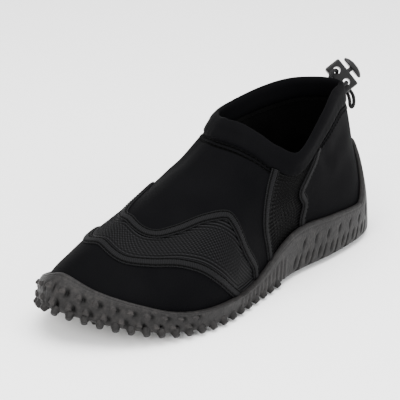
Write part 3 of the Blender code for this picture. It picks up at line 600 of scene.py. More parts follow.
def placeLights():
    for name, place, size, power, colour in lights:
        data = bpy.data.lights.new(name, "AREA")
        data.shape = "DISK"
        data.size = size
        data.energy = power
        data.color = linear(colour)[:3]
        lamp = bpy.data.objects.new(name, data)
        bpy.context.scene.collection.objects.link(lamp)
        lamp.location = place
        lamp.rotation_mode = "QUATERNION"
        lamp.rotation_quaternion = (Vector(studio["aim"]) - Vector(place)).to_track_quat("-Z", "Y")
    world = bpy.data.worlds.new("white_studio")
    bpy.context.scene.world = world
    world.use_nodes = True
    background = world.node_tree.nodes["Background"]
    background.inputs["Color"].default_value = (1, 1, 1, 1)
    background.inputs["Strength"].default_value = studio["worldStrength"]


def placeFloor():
    half = studio["floorHalf"]
    corners = [(-half, -half, 0), (half, -half, 0), (half, half, 0), (-half, half, 0)]
    paper = {"Base Color": linear(studio["paper"]), "Roughness": 0.9}
    material, tree, shader = newFinish("white_paper", paper)
    floor = pieceFrom("floor", corners, [(0, 1, 2, 3)], material, turnOut=False)


placeLights()
placeFloor()
print("camera, lights and floor ready")


# Drawcord and its lock

drawcord = {
    "diameter": 0.0026,
    "route": [
        (0.0166, 0.0010, 0.1037), (0.0151, 0.0010, 0.1041), (0.0129, 0.0008, 0.1045),
        (0.0108, 0.0000, 0.1045), (0.0087, -0.0011, 0.1036), (0.0059, -0.0034, 0.1018),
        (0.0027, -0.0060, 0.0999), (0.0012, -0.0062, 0.0983), (0.0002, -0.0044, 0.0953),
        (-0.0001, -0.0019, 0.0921), (0.0007, -0.0003, 0.0890), (0.0018, 0.0003, 0.0858),
        (0.0031, -0.0002, 0.0844), (0.0034, -0.0015, 0.0858), (0.0025, -0.0027, 0.0889),
        (0.0013, -0.0051, 0.0922), (0.0004, -0.0093, 0.0967), (0.0011, -0.0130, 0.1019),
        (0.0029, -0.0141, 0.1056), (0.0046, -0.0132, 0.1073), (0.0076, -0.0109, 0.1091),
        (0.0105, -0.0084, 0.1109), (0.0132, -0.0076, 0.1123), (0.0160, -0.0072, 0.1127),
        (0.0185, -0.0072, 0.1118), (0.0197, -0.0072, 0.1101), (0.0204, -0.0070, 0.1085)],
    "rings": 260, "sides": 16, "strands": 8, "strandDepth": 0.05, "strandTurn": 2.2,   # diameters a turn
}


def makeDrawcord(cord):
    # round tube along the route: a ring square to the path at each step, carried without twist,
    # its radius raised and lowered by two sets of strands that cross
    line = curveThrough(cord["route"], cord["rings"]) + shoeShift
    tangent = np.gradient(line, axis=0)
    tangent /= np.linalg.norm(tangent, axis=1, keepdims=True)
    side = np.empty_like(line)
    side[0] = np.cross(tangent[0], (0, 0, 1))
    for i in range(1, len(line)):
        side[i] = side[i - 1] - tangent[i] * (side[i - 1] @ tangent[i])
    side /= np.linalg.norm(side, axis=1, keepdims=True)
    other = np.cross(tangent, side)
    run = runAlong(line)
    angle = np.linspace(0, 2 * math.pi, cord["sides"], endpoint=False)
    radius = cord["diameter"] / 2
    twist = run[:, None] / (cord["diameter"] * cord["strandTurn"]) * 2 * math.pi
    strands = np.cos(cord["strands"] / 2 * angle + twist) * np.cos(cord["strands"] / 2 * angle - twist)
    reach = radius * (1 + cord["strandDepth"] * (strands - 1) / 2)
    points = (line[:, None] + side[:, None] * (reach * np.cos(angle))[..., None]
              + other[:, None] * (reach * np.sin(angle))[..., None])
    faces = gridFaces(cord["rings"], cord["sides"], closedColumns=True)[0].tolist()
    faces += endCaps(cord["rings"], cord["sides"])
    piece = pieceFrom("elastic_drawcord", points, faces, sleeve)
    layer = piece.data.uv_layers.new(name="pattern")
    rows = np.concatenate([run, run[-1:]])
    turn = np.arange(cord["sides"] + 1) / cord["sides"] * math.pi * cord["diameter"]
    index = loopPoints(piece)
    ring, step = index // cord["sides"], index % cord["sides"]
    start = np.empty(len(piece.data.polygons), int)
    total = np.empty(len(piece.data.polygons), int)
    piece.data.polygons.foreach_get("loop_start", start)
    piece.data.polygons.foreach_get("loop_total", total)
    owner = np.repeat(np.arange(len(start)), total)
    wraps = (np.maximum.reduceat(step, start) - np.minimum.reduceat(step, start) > cord["sides"] / 2)[owner]
    step = np.where(wraps & (step == 0), cord["sides"], step)      # the last strip ends on a full turn
    layer.data.foreach_set("uv", np.column_stack([rows[ring], turn[step]]).reshape(-1))
    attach(piece, "shoe")
    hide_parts("drawcord")
    print("drawcord", round(run[-1] * 1000, 1), "mm")


makeDrawcord(drawcord)
for lockNode in ("cord_lock_body", "cord_lock_button"):
    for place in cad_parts[lockNode].material_slots:
        place.material = acetal


# Tapes, panels and the lines between them

def routeOf(name, count=480):
    return curveThrough(tapeRoutes[name], count)


def climbOn(name, u):
    route = routeOf(name)
    return np.interp(u, route[:, 0], route[:, 1])


def turnOn(name, climb):
    route = routeOf(name)
    return np.interp(climb, route[:, 1], route[:, 0])


def endsOf(name):
    return tapeRoutes[name][0][0], tapeRoutes[name][-1][0]


def vampEdges(u):
    # climb of the vamp panel's lower and upper edge: the toe tape, or the rim beside it, and the vamp tape
    first, last = endsOf("toe_tape")
    low = np.where((u > first) & (u < last), climbOn("toe_tape", u), 0.0)
    return low, climbOn("vamp_tape", u)


def inVampPanel(u, climb):
    low, high = vampEdges(u)
    first, last = endsOf("vamp_tape")
    return np.where((u > first) & (u < last), np.minimum(climb - low, high - climb), -1.0)


def inGusset(u, climb):
    # between the tapes before and behind, on either side of the shoe
    rear, front = turnOn("gusset_tape_rear_outer", climb), turnOn("gusset_tape_front_outer", climb)
    outer = np.minimum(u - rear, front - u)
    rear, front = turnOn("gusset_tape_rear_inner", climb), turnOn("gusset_tape_front_inner", climb)
    inner = np.minimum(u - front, rear - u)
    return np.maximum(outer, inner)


upper = {
    "around": 600, "rowsOutside": 84, "rowsSeam": 34, "rowsInside": 18,
    "panelDip": 0.0009,                       # panels lie this much under the cloth beside them
    "vampEdge": 0.03, "gussetEdge": 0.006,    # climb and turn over which a panel dips
    "seamDip": 0.0006, "seamWidth": 0.0028,   # dent along the cuff's seam
    "sewnRows": (0.0014, 0.0040), "rowDip": 0.0005, "rowWidth": 0.0006,
    "flushBehind": (0.100, 0.160),            # the seam lies flush nearer the heel than these turns
    "perShare": 0.13,                         # metres up the cloth for one whole share of a rib
    "underCuff": 0.002,                       # the cloth runs on this far under the cuff
    "foldRidge": 0.45, "ridgeAt": 1.9,        # ridge beside a fold: share of its depth, of its width
    # soft folds: two ends by turn and climb, half width and depth in metres
    "folds": [
        ((0.055, 0.80), (0.125, 0.72), 0.0070, 0.0007),
        ((0.030, 0.30), (0.120, 0.42), 0.0110, 0.0008),
        ((0.145, 0.93), (0.118, 0.60), 0.0050, 0.0006),
        ((0.285, 0.90), (0.330, 0.78), 0.0050, 0.0004),
        ((0.290, 0.70), (0.300, 0.30), 0.0070, 0.0004),
        ((0.340, 0.80), (0.480, 0.74), 0.0060, 0.0003),
        ((0.520, 0.78), (0.640, 0.82), 0.0060, 0.0004),
        ((0.690, 0.72), (0.705, 0.35), 0.0070, 0.0004),
        ((0.870, 0.86), (0.905, 0.55), 0.0060, 0.0007),
        ((0.880, 0.30), (0.965, 0.40), 0.0110, 0.0007),
        ((0.940, 0.86), (0.980, 0.70), 0.0060, 0.0005),
        ((0.400, 0.16), (0.470, 0.14), 0.0080, 0.0004),
        ((0.540, 0.18), (0.600, 0.12), 0.0080, 0.0004),
    ],
}


def foldLift(points, look):
    # each fold is a soft trough round the straight line between its ends, with a low ridge beside it
    lift = np.zeros(points.shape[:-1])
    for first, last, width, depth in look["folds"]:
        turns = np.array([first[0], last[0]])
        start, end = shellPoint(turns, climbToShare(turns, np.array([first[1], last[1]])))
        way = end - start
        t = np.clip(((points - start) @ way) / (way @ way), 0, 1)
        off = np.linalg.norm(points - start - t[..., None] * way, axis=-1) / width
        fade = np.sin(math.pi * (0.15 + 0.7 * t))
        ridge = look["foldRidge"] * np.exp(-(off - look["ridgeAt"]) ** 2)
        lift += depth * fade * (ridge - np.exp(-off**2))
    return lift


def upperLift(u, v, look):
    climb = (v - sampled(rimShare, u)) / (sampled(seamShare, u) - sampled(rimShare, u))
    lift = foldLift(shellPoint(u, v), look)
    panel = smoothStep(inVampPanel(u, climb) / look["vampEdge"])
    gusset = smoothStep(inGusset(u, np.clip(climb, 0, 1)) / look["gussetEdge"])
    lift -= look["panelDip"] * np.maximum(panel, gusset)
    below = (sampled(seamShare, u) - v) * look["perShare"]
    lift -= look["seamDip"] * np.exp(-(below / look["seamWidth"]) ** 2)
    sewn = sum(np.exp(-((below - row) / look["rowWidth"]) ** 2) for row in look["sewnRows"])
    flush, clear = look["flushBehind"]
    offHeel = np.minimum(u % 1.0, 1 - u % 1.0)
    sewn = sewn * (0.15 + 0.85 * smoothStep((offHeel - flush) / (clear - flush)))
    return lift - look["rowDip"] * sewn, sewn


def makeUpper(look):
    # closed shell: the outer wall with folds and dips, and the inner wall one cloth thickness inside
    u = evenTurns(look["around"])[:, None]
    top = shareBelowTop(u[:, 0], shoe["cuffBand"] - look["underCuff"])[:, None]
    rows = np.concatenate([np.linspace(0, 0.9, look["rowsOutside"])[:-1],
                           np.linspace(0.9, 1, look["rowsSeam"])])
    outerV = top * rows[None, :]
    innerV = top * np.linspace(1, 0, look["rowsInside"])[None, :]
    turn = np.broadcast_to(u, outerV.shape)
    lift, sewn = upperLift(turn, outerV, look)
    outer = shellPoint(turn, outerV, lift)
    turnIn = np.broadcast_to(u, innerV.shape)
    inner = shellPoint(turnIn, innerV, foldLift(shellPoint(turnIn, innerV), look) - shoe["wall"])
    points = np.concatenate([outer, inner], 1)
    faces, corners = gridFaces(points.shape[0], points.shape[1], True, True)
    piece = pieceFrom("stretch_upper", points, faces.tolist(), [jersey, lining])
    column = np.minimum(corners[0][1], points.shape[1] - 1)
    inside = (column >= len(rows) - 1).astype(int).reshape(-1)
    piece.data.polygons.foreach_set("material_index", inside)
    # the seam mark, taken from the sewn rows, drives the painted shade along them in the cloth's material
    markPoints(piece, "seam", np.concatenate([np.clip(sewn, 0, 1), np.zeros(innerV.shape)], 1))
    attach(piece, "shoe")
    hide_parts("upper")
    print("upper", len(faces), "faces")


makeUpper(upper)


def makePanel(name, turn, climb, look):
    # sheet between two tapes: ridges and holes as a product of two waves along and across it
    share = climbToShare(turn, climb)
    flat = shellPoint(turn, share)
    along = np.cumsum(np.linalg.norm(np.diff(flat, axis=0, prepend=flat[:1]), axis=-1), axis=0)
    along = np.broadcast_to(along.mean(1)[:, None], flat.shape[:2])
    across = np.cumsum(np.linalg.norm(np.diff(flat, axis=1, prepend=flat[:, :1]), axis=-1), axis=1)
    if look["evenAcross"]:
        across = np.broadcast_to(across.mean(0)[None, :], flat.shape[:2])
    waveAlong = np.cos(2 * math.pi * along / look["pitchAlong"])
    waveAcross = np.cos(2 * math.pi * across / look["pitchAcross"])
    # ribs beside the tapes give way to separate loops in the middle of the sheet
    fromMiddle = np.abs(np.linspace(-1, 1, flat.shape[1] if look["loopsAlong"] else flat.shape[0]))
    beside = smoothStep((fromMiddle - 0.35) / 0.4)
    ribShare = look["ribShare"] + (look["ribShareBeside"] - look["ribShare"]) * beside
    ribShare = ribShare[None, :] if look["loopsAlong"] else ribShare[:, None]
    yarn = (0.5 + 0.5 * (ribShare * waveAcross + (1 - ribShare) * waveAlong * waveAcross)) ** look["thin"]
    folds = foldLift(flat, upper)
    points = shellPoint(turn, share, folds - look["under"] + look["relief"] * yarn)
    faces, corners = gridFaces(*flat.shape[:2])
    piece = pieceFrom(name, points, faces.tolist(), airMesh, turnOut=False)
    row, column = np.array(turn.shape) // 2
    outward = shellNormal(turn[row:row + 1, column], share[row:row + 1, column])[0]
    centre = np.array(piece.data.polygons[row * (flat.shape[1] - 1) + column - 1].normal)
    addPattern(piece, corners, along, across)
    # the yarn height times the panel's painted light level picks the painted shade and highlights of the mesh
    # material
    markPoints(piece, "yarn", yarn * look["paintedLightLevel"])
    if centre @ outward < 0:
        piece.data.flip_normals()
    thick = piece.modifiers.new("cloth_thickness", "SOLIDIFY")
    thick.thickness = look["thickness"]
    thick.offset = -1
    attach(piece, "shoe")
    return piece


vampPanel = {
    "columns": 300, "rows": 84, "turnInset": 0.003, "climbInset": 0.004,
    "pitchAlong": 0.0027, "pitchAcross": 0.0023, "evenAcross": False, "loopsAlong": True,
    "ribShare": 0.10, "ribShareBeside": 0.85,     # ribs against loops, in the middle and by the tapes
    "relief": 0.00065, "under": 0.00050, "thickness": 0.0005, "thin": 1.0, "paintedLightLevel": 1.0,
}
# the gussets get a lower painted light level: painted shade on the panels that face away from the light
gussetPanel = {
    "columns": 84, "rows": 150, "climbInset": 0.004,
    "pitchAlong": 0.0031, "pitchAcross": 0.0024, "evenAcross": True, "loopsAlong": False,
    "ribShare": 0.25, "ribShareBeside": 0.85,
    "relief": 0.0010, "under": 0.0008, "thickness": 0.0005, "thin": 2.2, "paintedLightLevel": 0.55,
}


def makePanels():
    first, last = endsOf("vamp_tape")
    inset = vampPanel["turnInset"]
    turn = np.linspace(first + inset, last - inset, vampPanel["columns"])[:, None]
    low, high = vampEdges(turn)
    t = np.linspace(0, 1, vampPanel["rows"])[None, :]
    climb = np.maximum(low + (high - low) * t, vampPanel["climbInset"])
    makePanel("vamp_mesh", np.broadcast_to(turn, climb.shape), climb, vampPanel)
    inset = gussetPanel["climbInset"]
    for side, first, last in (("outer", "gusset_tape_rear_outer", "gusset_tape_front_outer"),
                              ("inner", "gusset_tape_front_inner", "gusset_tape_rear_inner")):
        climb = np.linspace(inset, 1 - inset, gussetPanel["rows"])[None, :]
        t = np.linspace(0, 1, gussetPanel["columns"])[:, None]
        turn = turnOn(first, climb) + (turnOn(last, climb) - turnOn(first, climb)) * t
        makePanel("gusset_mesh_" + side, turn, np.broadcast_to(climb, turn.shape), gussetPanel)


makePanels()
print("mesh panels ready")


# Stitches

def stitchesAlong(line, normal, look):
    # each stitch is a short bowed thread: rings of a small circle, sunk at both ends
    run = runAlong(line)
    centres = np.arange(look["pitch"] / 2, run[-1], look["pitch"])

    def read(values):
        return np.stack([np.interp(centres, run, values[:, k]) for k in range(3)], -1)
    place, up = read(line), read(normal)
    way = read(np.gradient(line, axis=0))
    way /= np.linalg.norm(way, axis=1, keepdims=True)
    up -= way * (way * up).sum(1, keepdims=True)
    up /= np.linalg.norm(up, axis=1, keepdims=True)
    side = np.cross(way, up)
    rings, sides = 5, 6
    t = np.linspace(-1, 1, rings)
    angle = np.linspace(0, 2 * math.pi, sides, endpoint=False)
    bow = look["bow"] * (1 - 1.6 * t**2)
    slim = look["radius"] * np.sqrt(1.05 - t**2)
    points = (place[:, None, None] + way[:, None, None] * (t * look["length"] / 2)[None, :, None, None]
              + up[:, None, None] * (bow[:, None] + slim[:, None] * np.sin(angle))[None, :, :, None]
              + side[:, None, None] * (slim[:, None] * np.cos(angle))[None, :, :, None])
    return manyOf(points, rings, sides, len(centres))


def manyOf(points, rings, sides, count):
    # quads and end caps of many equal capped tubes, their points in one run
    faces = gridFaces(rings, sides, closedColumns=True)[0]
    size = rings * sides
    ends = np.array([range(sides), range(size - sides, size)])
    first = np.arange(count)[:, None, None] * size
    quads, caps = faces[None] + first, ends[None] + first
    return points.reshape(-1, 3), quads.reshape(-1, 4), caps.reshape(-1, sides)


def sewPiece(name, rows, material):
    points, quads, caps, count = [], [], [], 0
    for p, q, c in rows:
        points.append(p)
        quads += (q + count).tolist()
        caps += (c + count).tolist()
        count += len(p)
    piece = pieceFrom(name, np.concatenate(points), quads + caps, material)
    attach(piece, "shoe")
    return piece


tape = {
    "width": 0.0066, "thickness": 0.0012, "under": 0.0003, "step": 0.0008, "across": 27,
    "sunk": 0.0004,           # its underside, below the cloth
    "stitchOffset": 0.0021, "channel": 0.00048, "channelWidth": 0.00060,
    "stitch": {"pitch": 0.0030, "length": 0.0021, "radius": 0.00030, "bow": 0.00020},
}


def tapeFrame(name, look):
    # the route in even steps, with how far u and v move for one metre sideways on the surface
    route = routeOf(name)
    share = climbToShare(route[:, 0], route[:, 1])
    run = runAlong(shellPoint(route[:, 0], share))
    at = np.linspace(0, run[-1], int(run[-1] / look["step"]))
    u, v = np.interp(at, run, route[:, 0]), np.interp(at, run, share)
    small = 0.002
    perU = (ribPoint(u + small, v) - ribPoint(u - small, v)) / (2 * small)
    perV = (ribPoint(u, v + small) - ribPoint(u, v - small)) / (2 * small)
    way = np.gradient(ribPoint(u, v), axis=0)
    side = np.cross(np.cross(perV, perU), way)
    side /= np.linalg.norm(side, axis=-1, keepdims=True)
    uu, uv, vv = (perU * perU).sum(-1), (perU * perV).sum(-1), (perV * perV).sum(-1)
    su, sv = (side * perU).sum(-1), (side * perV).sum(-1)
    det = uu * vv - uv * uv
    return at, u, v, (su * vv - sv * uv) / det, (sv * uu - su * uv) / det


def onTape(frameOf, across, lift):
    at, u, v, stepU, stepV = frameOf
    turn = u + across * stepU
    share = np.clip(v + across * stepV, climbToShare(turn, 0.0), climbToShare(turn, 1.0))
    folds = foldLift(shellPoint(turn, share), upper)
    return shellPoint(turn, share, lift + folds), shellNormal(turn, share)


def makeTape(name, look):
    # low rounded section carried along the route, with two sunk channels for the stitch rows
    frameOf = tapeFrame(name, look)
    x = np.cos(np.linspace(math.pi, 0, look["across"]))
    height = look["thickness"] * (1 - np.abs(x) ** 5) ** 0.5
    for sign in (-1, 1):
        off = x * look["width"] / 2 - sign * look["stitchOffset"]
        height -= look["channel"] * np.exp(-((off / look["channelWidth"]) ** 2))
    section = list(zip(x, height)) + [(a, -look["sunk"]) for a in (0.9, 0.0, -0.9)]
    rings = [onTape(frameOf, a * look["width"] / 2, np.full(len(frameOf[0]), look["under"] + h))[0]
             for a, h in section]
    points = np.stack(rings, 1)
    count, size = points.shape[:2]
    faces = gridFaces(count, size, closedColumns=True)[0].tolist()
    piece = pieceFrom("sewn_" + name, points, faces + endCaps(count, size), binding)
    layer = piece.data.uv_layers.new(name="pattern")
    index = loopPoints(piece)
    across = np.array([a * look["width"] / 2 for a, h in section])
    uv = np.column_stack([frameOf[0][index // size], across[index % size]])
    layer.data.foreach_set("uv", uv.reshape(-1))
    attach(piece, "shoe")
    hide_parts(name)
    lift = np.full(len(frameOf[0]), look["under"] + look["thickness"] - look["channel"])
    rows = [onTape(frameOf, sign * look["stitchOffset"], lift) for sign in (-1, 1)]
    return [stitchesAlong(line, normal, look["stitch"]) for line, normal in rows]


seamRows = []
for tapeName in tapeRoutes:
    seamRows += makeTape(tapeName, tape)
sewPiece("tape_stitches", seamRows, darkThread)
print("tapes and their stitches ready")


# Folded cuff

cuff = {
    "around": 620, "steps": 44,
    # rise: share of the band's height; out: share of half the thickness, from its middle
    "section": [(-0.02, 0.35), (0.05, 0.85), (0.20, 1.05), (0.45, 1.06), (0.70, 1.00), (0.90, 0.66),
                (0.99, 0.20), (1.00, -0.15), (0.93, -0.60), (0.75, -0.95), (0.45, -1.03), (0.20, -1.00),
                (0.03, -0.75), (-0.04, -0.25)],
    "casing": 0.00022, "casingAt": 0.62, "casingWidth": 0.16,     # soft ridge where the cord runs inside
    "pucker": 0.00008, "puckerPitch": 0.0062, "puckerRise": 0.35, # small pucker above the seam
    "insideRow": 0.003, "seamSteps": 900,
    "stitch": {"pitch": 0.0036, "length": 0.0026, "radius": 0.00040, "bow": 0.00028},
}


def makeCuff(look):
    # closed section through the listed points, carried round the top of the ribs;
    # small puckers fade out upwards from the seam
    section = np.array(look["section"])
    knots = np.arange(len(section)) / len(section)
    at = np.arange(look["steps"]) / look["steps"]
    rise, out = loopThrough(knots, section[:, 0], at), loopThrough(knots, section[:, 1], at)
    u = evenTurns(look["around"])[:, None]
    low = sampled(seamShare, u)
    share = low + (1 - low) * rise[None, :]
    run = runAlong(shellPoint(u[:, 0], np.ones(look["around"])))[:, None]
    wave = np.sin(2 * math.pi * run / look["puckerPitch"] + 1.7 * np.sin(run / 0.013))
    lift = shoe["cuffThickness"] / 2 * out[None, :] - shoe["wall"] / 2
    outside = smoothStep((out[None, :] + 0.2) / 0.8)
    lift = lift + outside * look["pucker"] * wave * np.exp(-(rise[None, :] / look["puckerRise"]) ** 2)
    casing = np.exp(-(((rise[None, :] - look["casingAt"]) / look["casingWidth"]) ** 2))
    lift = lift + outside * look["casing"] * casing
    points = shellPoint(np.broadcast_to(u, share.shape), share, lift)
    faces = gridFaces(look["around"], look["steps"], True, True)[0].tolist()
    piece = pieceFrom("folded_cuff", points, faces, jersey)
    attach(piece, "shoe")
    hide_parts("collar_cuff")
    # two rows of stitches outside, below the cuff, and one inside
    rows = []
    turns = np.linspace(0, 1, look["seamSteps"])
    for below in upper["sewnRows"]:
        v = shareBelowTop(turns, shoe["cuffBand"] + below)
        lift = upperLift(turns, v, upper)[0]
        rows.append(stitchesAlong(shellPoint(turns, v, lift), shellNormal(turns, v), look["stitch"]))
    v = shareBelowTop(turns, shoe["cuffBand"] + look["insideRow"])
    lift = foldLift(shellPoint(turns, v), upper) - shoe["wall"]
    rows.append(stitchesAlong(shellPoint(turns, v, lift), -shellNormal(turns, v), look["stitch"]))
    sewPiece("cuff_stitches", rows, darkThread)


makeCuff(cuff)
print("cuff ready")


# Cup sole

sole = {
    "around": 1180, "sideRows": 30, "across": 36,
    "treadEdge": 0.0035, "floorRing": 0.014,
    # slanted grooves and the ovals above and between them, at the solid's own places round the heel
    "grooves": ((0.065, 0.185), (0.815, 0.935)), "groovePitch": 0.0120, "grooveWidth": 0.0007,
    "grooveDepth": 0.0017, "grooveSlant": 0.60, "grooveFrom": 0.3, "grooveTop": 0.46, "heelWall": 0.025,
    "dotRows": ((0.36, 0.5), (0.60, 0.0)), "dotAlong": 0.0009, "dotUp": 0.0019, "dotDepth": 0.0017,
    # half moons on the toe's side
    "bumps": (0.36, 0.62), "bumpPitch": 0.0105, "bumpRows": ((0.58, 0.0), (0.30, 0.5)),
    "bumpRadius": 0.0025, "bumpHeight": 0.0016, "lowerHalf": 0.2, "toeWall": 0.021,
    "pocketShift": 0.0025, "pocketRadius": 0.0019, "pocketDepth": 0.0016,   # hollow behind each half moon
    "barStretches": ((0.205, 0.300), (0.710, 0.800)), "barPitch": 0.0050, "barHeight": 0.0006,
    "barTop": 0.62, "lineHeight": 0.90, "lineDepth": 0.0002, "lineWidth": 0.0006, "ballWall": 0.020,
    "reliefRange": 0.0024,
    "edgePitch": 0.0092, "edgeInset": 0.0022, "edgeRaise": 0.0010, "edgeDroop": math.radians(37),
    "forefoot": (0.225, 0.755), "treadPitch": 0.0198, "treadMargin": 0.010,
    "tread": (0.085, 0.93), "waist": (0.36, 0.50),
    "studRadius": 0.0029, "studTip": 0.0021, "studSink": 0.0012,
    "sipePitch": 0.0085, "sipeDepth": 0.0009, "sipeWidth": 0.0011,
    "sipeBend": 0.0028, "sipeWave": 0.022, "sipes": (0.07, 0.93), "sipeFade": 0.03,
}


def soleProfile(u):
    # control points of the cup's section: floor, inner wall, crest, bulged side, soft tread edge
    rim = sampled(rimShare, u)
    wall, gap, edge = shoe["soleWall"], shoe["seat"], sole["treadEdge"]

    def level(inset, up):
        flat = outline(u, np.full(u.shape, inset))
        return np.column_stack([flat, treadHeight(flat[:, 0], flat[:, 1]) + up]) + shoeShift

    def side(share, lift):
        return shellPoint(u, rim * share, np.full(u.shape, lift))
    inside = [level(sole["floorRing"], shoe["soleFloor"]), level(wall, shoe["soleFloor"])]
    inside += [side(share, gap) for share in (0.35, 0.7, 0.97)]
    crest = [side(1.0, gap + 0.12 * wall), side(1.0, gap + 0.55 * wall)]
    bulge = [side(0.93, gap + 0.92 * wall), side(0.5, gap + 1.05 * wall)]
    foot = [level(0.0, 0.45 * shoe["soleFloor"]), level(0.25 * edge, 0.3 * edge), level(edge, 0.0)]
    return inside, crest + bulge + foot


def bell(x, width):
    return np.exp(-(x / width) ** 4)


def nearest(run, centres):
    # signed distance to the closest centre
    i = np.clip(np.searchsorted(centres, run), 1, len(centres) - 1)
    before, after = run - centres[i - 1], run - centres[i]
    return np.where(before < -after, before, after)


def sideRelief(u, run, height):
    # grooves, ovals, half moons, bars and the rim line, each a flat-topped bell along and up the side
    turn = u[:, None]
    lift = np.zeros(height.shape)
    forward = np.where(turn < 0.5, 1, -1)        # on either side of the shoe
    lean = run[:, None] + (height - sole["grooveFrom"]) * sole["heelWall"] * sole["grooveSlant"] * forward
    for first, last in sole["grooves"]:
        centres = np.interp(outlinePlaces(sole["groovePitch"], first, last), u, run)
        off = nearest(lean, centres)
        foot = smoothStep((sole["grooveTop"] - height) / 0.08)
        lift -= sole["grooveDepth"] * foot * bell(off, sole["grooveWidth"])
        for dotHeight, shift in sole["dotRows"]:
            off = nearest(lean, centres + shift * sole["groovePitch"])
            up = (height - dotHeight) * sole["heelWall"]
            lift -= sole["dotDepth"] * np.exp(-(off / sole["dotAlong"]) ** 2 - (up / sole["dotUp"]) ** 2)
    centres = np.interp(outlinePlaces(sole["bumpPitch"], *sole["bumps"]), u, run)
    for rowHeight, shift in sole["bumpRows"]:
        off = nearest(np.broadcast_to(run[:, None], height.shape), centres + shift * sole["bumpPitch"])
        up = (height - rowHeight) * sole["toeWall"]
        reach = np.sqrt(off**2 + up**2) / sole["bumpRadius"]
        moon = np.where(up > -0.0003, 1.0, sole["lowerHalf"])       # the lower half is nearly flush
        # the hollow lies heelwards of each half moon, on its side away from the light, and the relief mark
        # paints it dark as painted shade
        behind = off + sole["pocketShift"] * forward
        pocket = np.exp(-(behind**2 + up**2) / sole["pocketRadius"] ** 2)
        raised = smoothStep((1.0 - reach) / 0.35)
        lift += sole["bumpHeight"] * moon * raised - sole["pocketDepth"] * pocket * (1 - raised)
    for first, last in sole["barStretches"]:
        here = smoothStep((turn - first) / 0.008) * smoothStep((last - turn) / 0.008)
        wave = 0.5 + 0.5 * np.cos(2 * math.pi * run[:, None] / sole["barPitch"])
        low = smoothStep((sole["barTop"] - height) / 0.1)
        lift += sole["barHeight"] * here * smoothStep((wave - 0.4) / 0.3) * low
    lift -= sole["lineDepth"] * bell((height - sole["lineHeight"]) * sole["ballWall"], sole["lineWidth"])
    return lift


def studShapes(roots, ways, lengths, sides=14):
    # rounded cone: rings from the sunk root to a softly edged flat tip
    ways = np.asarray(ways, float)
    ways /= np.linalg.norm(ways, axis=1, keepdims=True)
    helper = np.where(np.abs(ways[:, 2:3]) > 0.9, [[1.0, 0, 0]], [[0, 0, 1.0]])
    side = np.cross(ways, helper)
    side /= np.linalg.norm(side, axis=1, keepdims=True)
    other = np.cross(ways, side)
    root, tip = sole["studRadius"], sole["studTip"]
    profile = np.array([(0.0, root * 1.25), (0.30, root * 1.02), (0.72, tip * 1.1), (0.90, tip * 1.02),
                        (0.98, tip * 0.86), (1.0, tip * 0.70)])
    angle = np.linspace(0, 2 * math.pi, sides, endpoint=False)
    reach = profile[None, :, 0] * np.asarray(lengths)[:, None]
    points = (np.asarray(roots)[:, None, None] + ways[:, None, None] * reach[..., None, None]
              + side[:, None, None] * (profile[:, 1:2] * np.cos(angle))[None, :, :, None]
              + other[:, None, None] * (profile[:, 1:2] * np.sin(angle))[None, :, :, None])
    return manyOf(points, len(profile), sides, len(roots))


def outlinePlaces(pitch, first, last):
    turn = np.linspace(first, last, 400)
    run = runAlong(outline(turn))
    return np.interp(np.linspace(0, run[-1], int(run[-1] / pitch) + 1), run, turn)


def treadPlaces():
    turn = np.linspace(0, 1, 241)[:-1]
    edge = outline(turn, np.full(turn.shape, sole["treadMargin"]))
    outer, inner = edge[:120], edge[120:][::-1]
    outer, inner = outer[np.argsort(outer[:, 0])], inner[np.argsort(inner[:, 0])]
    places = []
    first, last = (share * shoe["length"] for share in sole["tread"])
    for x in np.arange(first, last, sole["treadPitch"]):
        if sole["waist"][0] < x / shoe["length"] < sole["waist"][1]:
            continue
        low, high = np.interp(x, inner[:, 0], inner[:, 1]), np.interp(x, outer[:, 0], outer[:, 1])
        count = int((high - low) / sole["treadPitch"]) + 1
        places += [(x, low + (high - low) * (k + 0.5) / count) for k in range(count)]
    return np.array(places)


def acrossRing(edge, shares):
    # rows of points between the two sides of a ring
    half = len(edge) // 2
    low, high = edge[1:half][:, None], edge[:half:-1][:, None]
    return low * (1 - shares)[None, :, None] + high * shares[None, :, None]


def stripFaces(ring):
    # one strip of faces from side to side of a ring
    half = len(ring) // 2
    left, right = ring[:half + 1], np.roll(ring[::-1], 1)[:half + 1]
    cells = np.column_stack([left[:-1], left[1:], right[1:], right[:-1]])
    return [list(dict.fromkeys(cell)) for cell in cells.tolist()]


def bridgeFaces(ring, rows, first):
    # faces over the rows of points laid across a ring, with a fan at either end
    half = len(ring) // 2
    inner = first + np.arange(rows.shape[0] * rows.shape[1]).reshape(rows.shape[:2])
    grid = np.concatenate([ring[1:half, None], inner, ring[:half:-1][:, None]], 1)
    cells = np.stack([grid[:-1, :-1], grid[1:, :-1], grid[1:, 1:], grid[:-1, 1:]], -1)
    faces = cells.reshape(-1, 4).tolist()
    for end, tip in ((grid[0], ring[0]), (grid[-1], ring[half])):
        faces += [[int(tip), int(p), int(q)] for p, q in zip(end[:-1], end[1:])]
    return faces


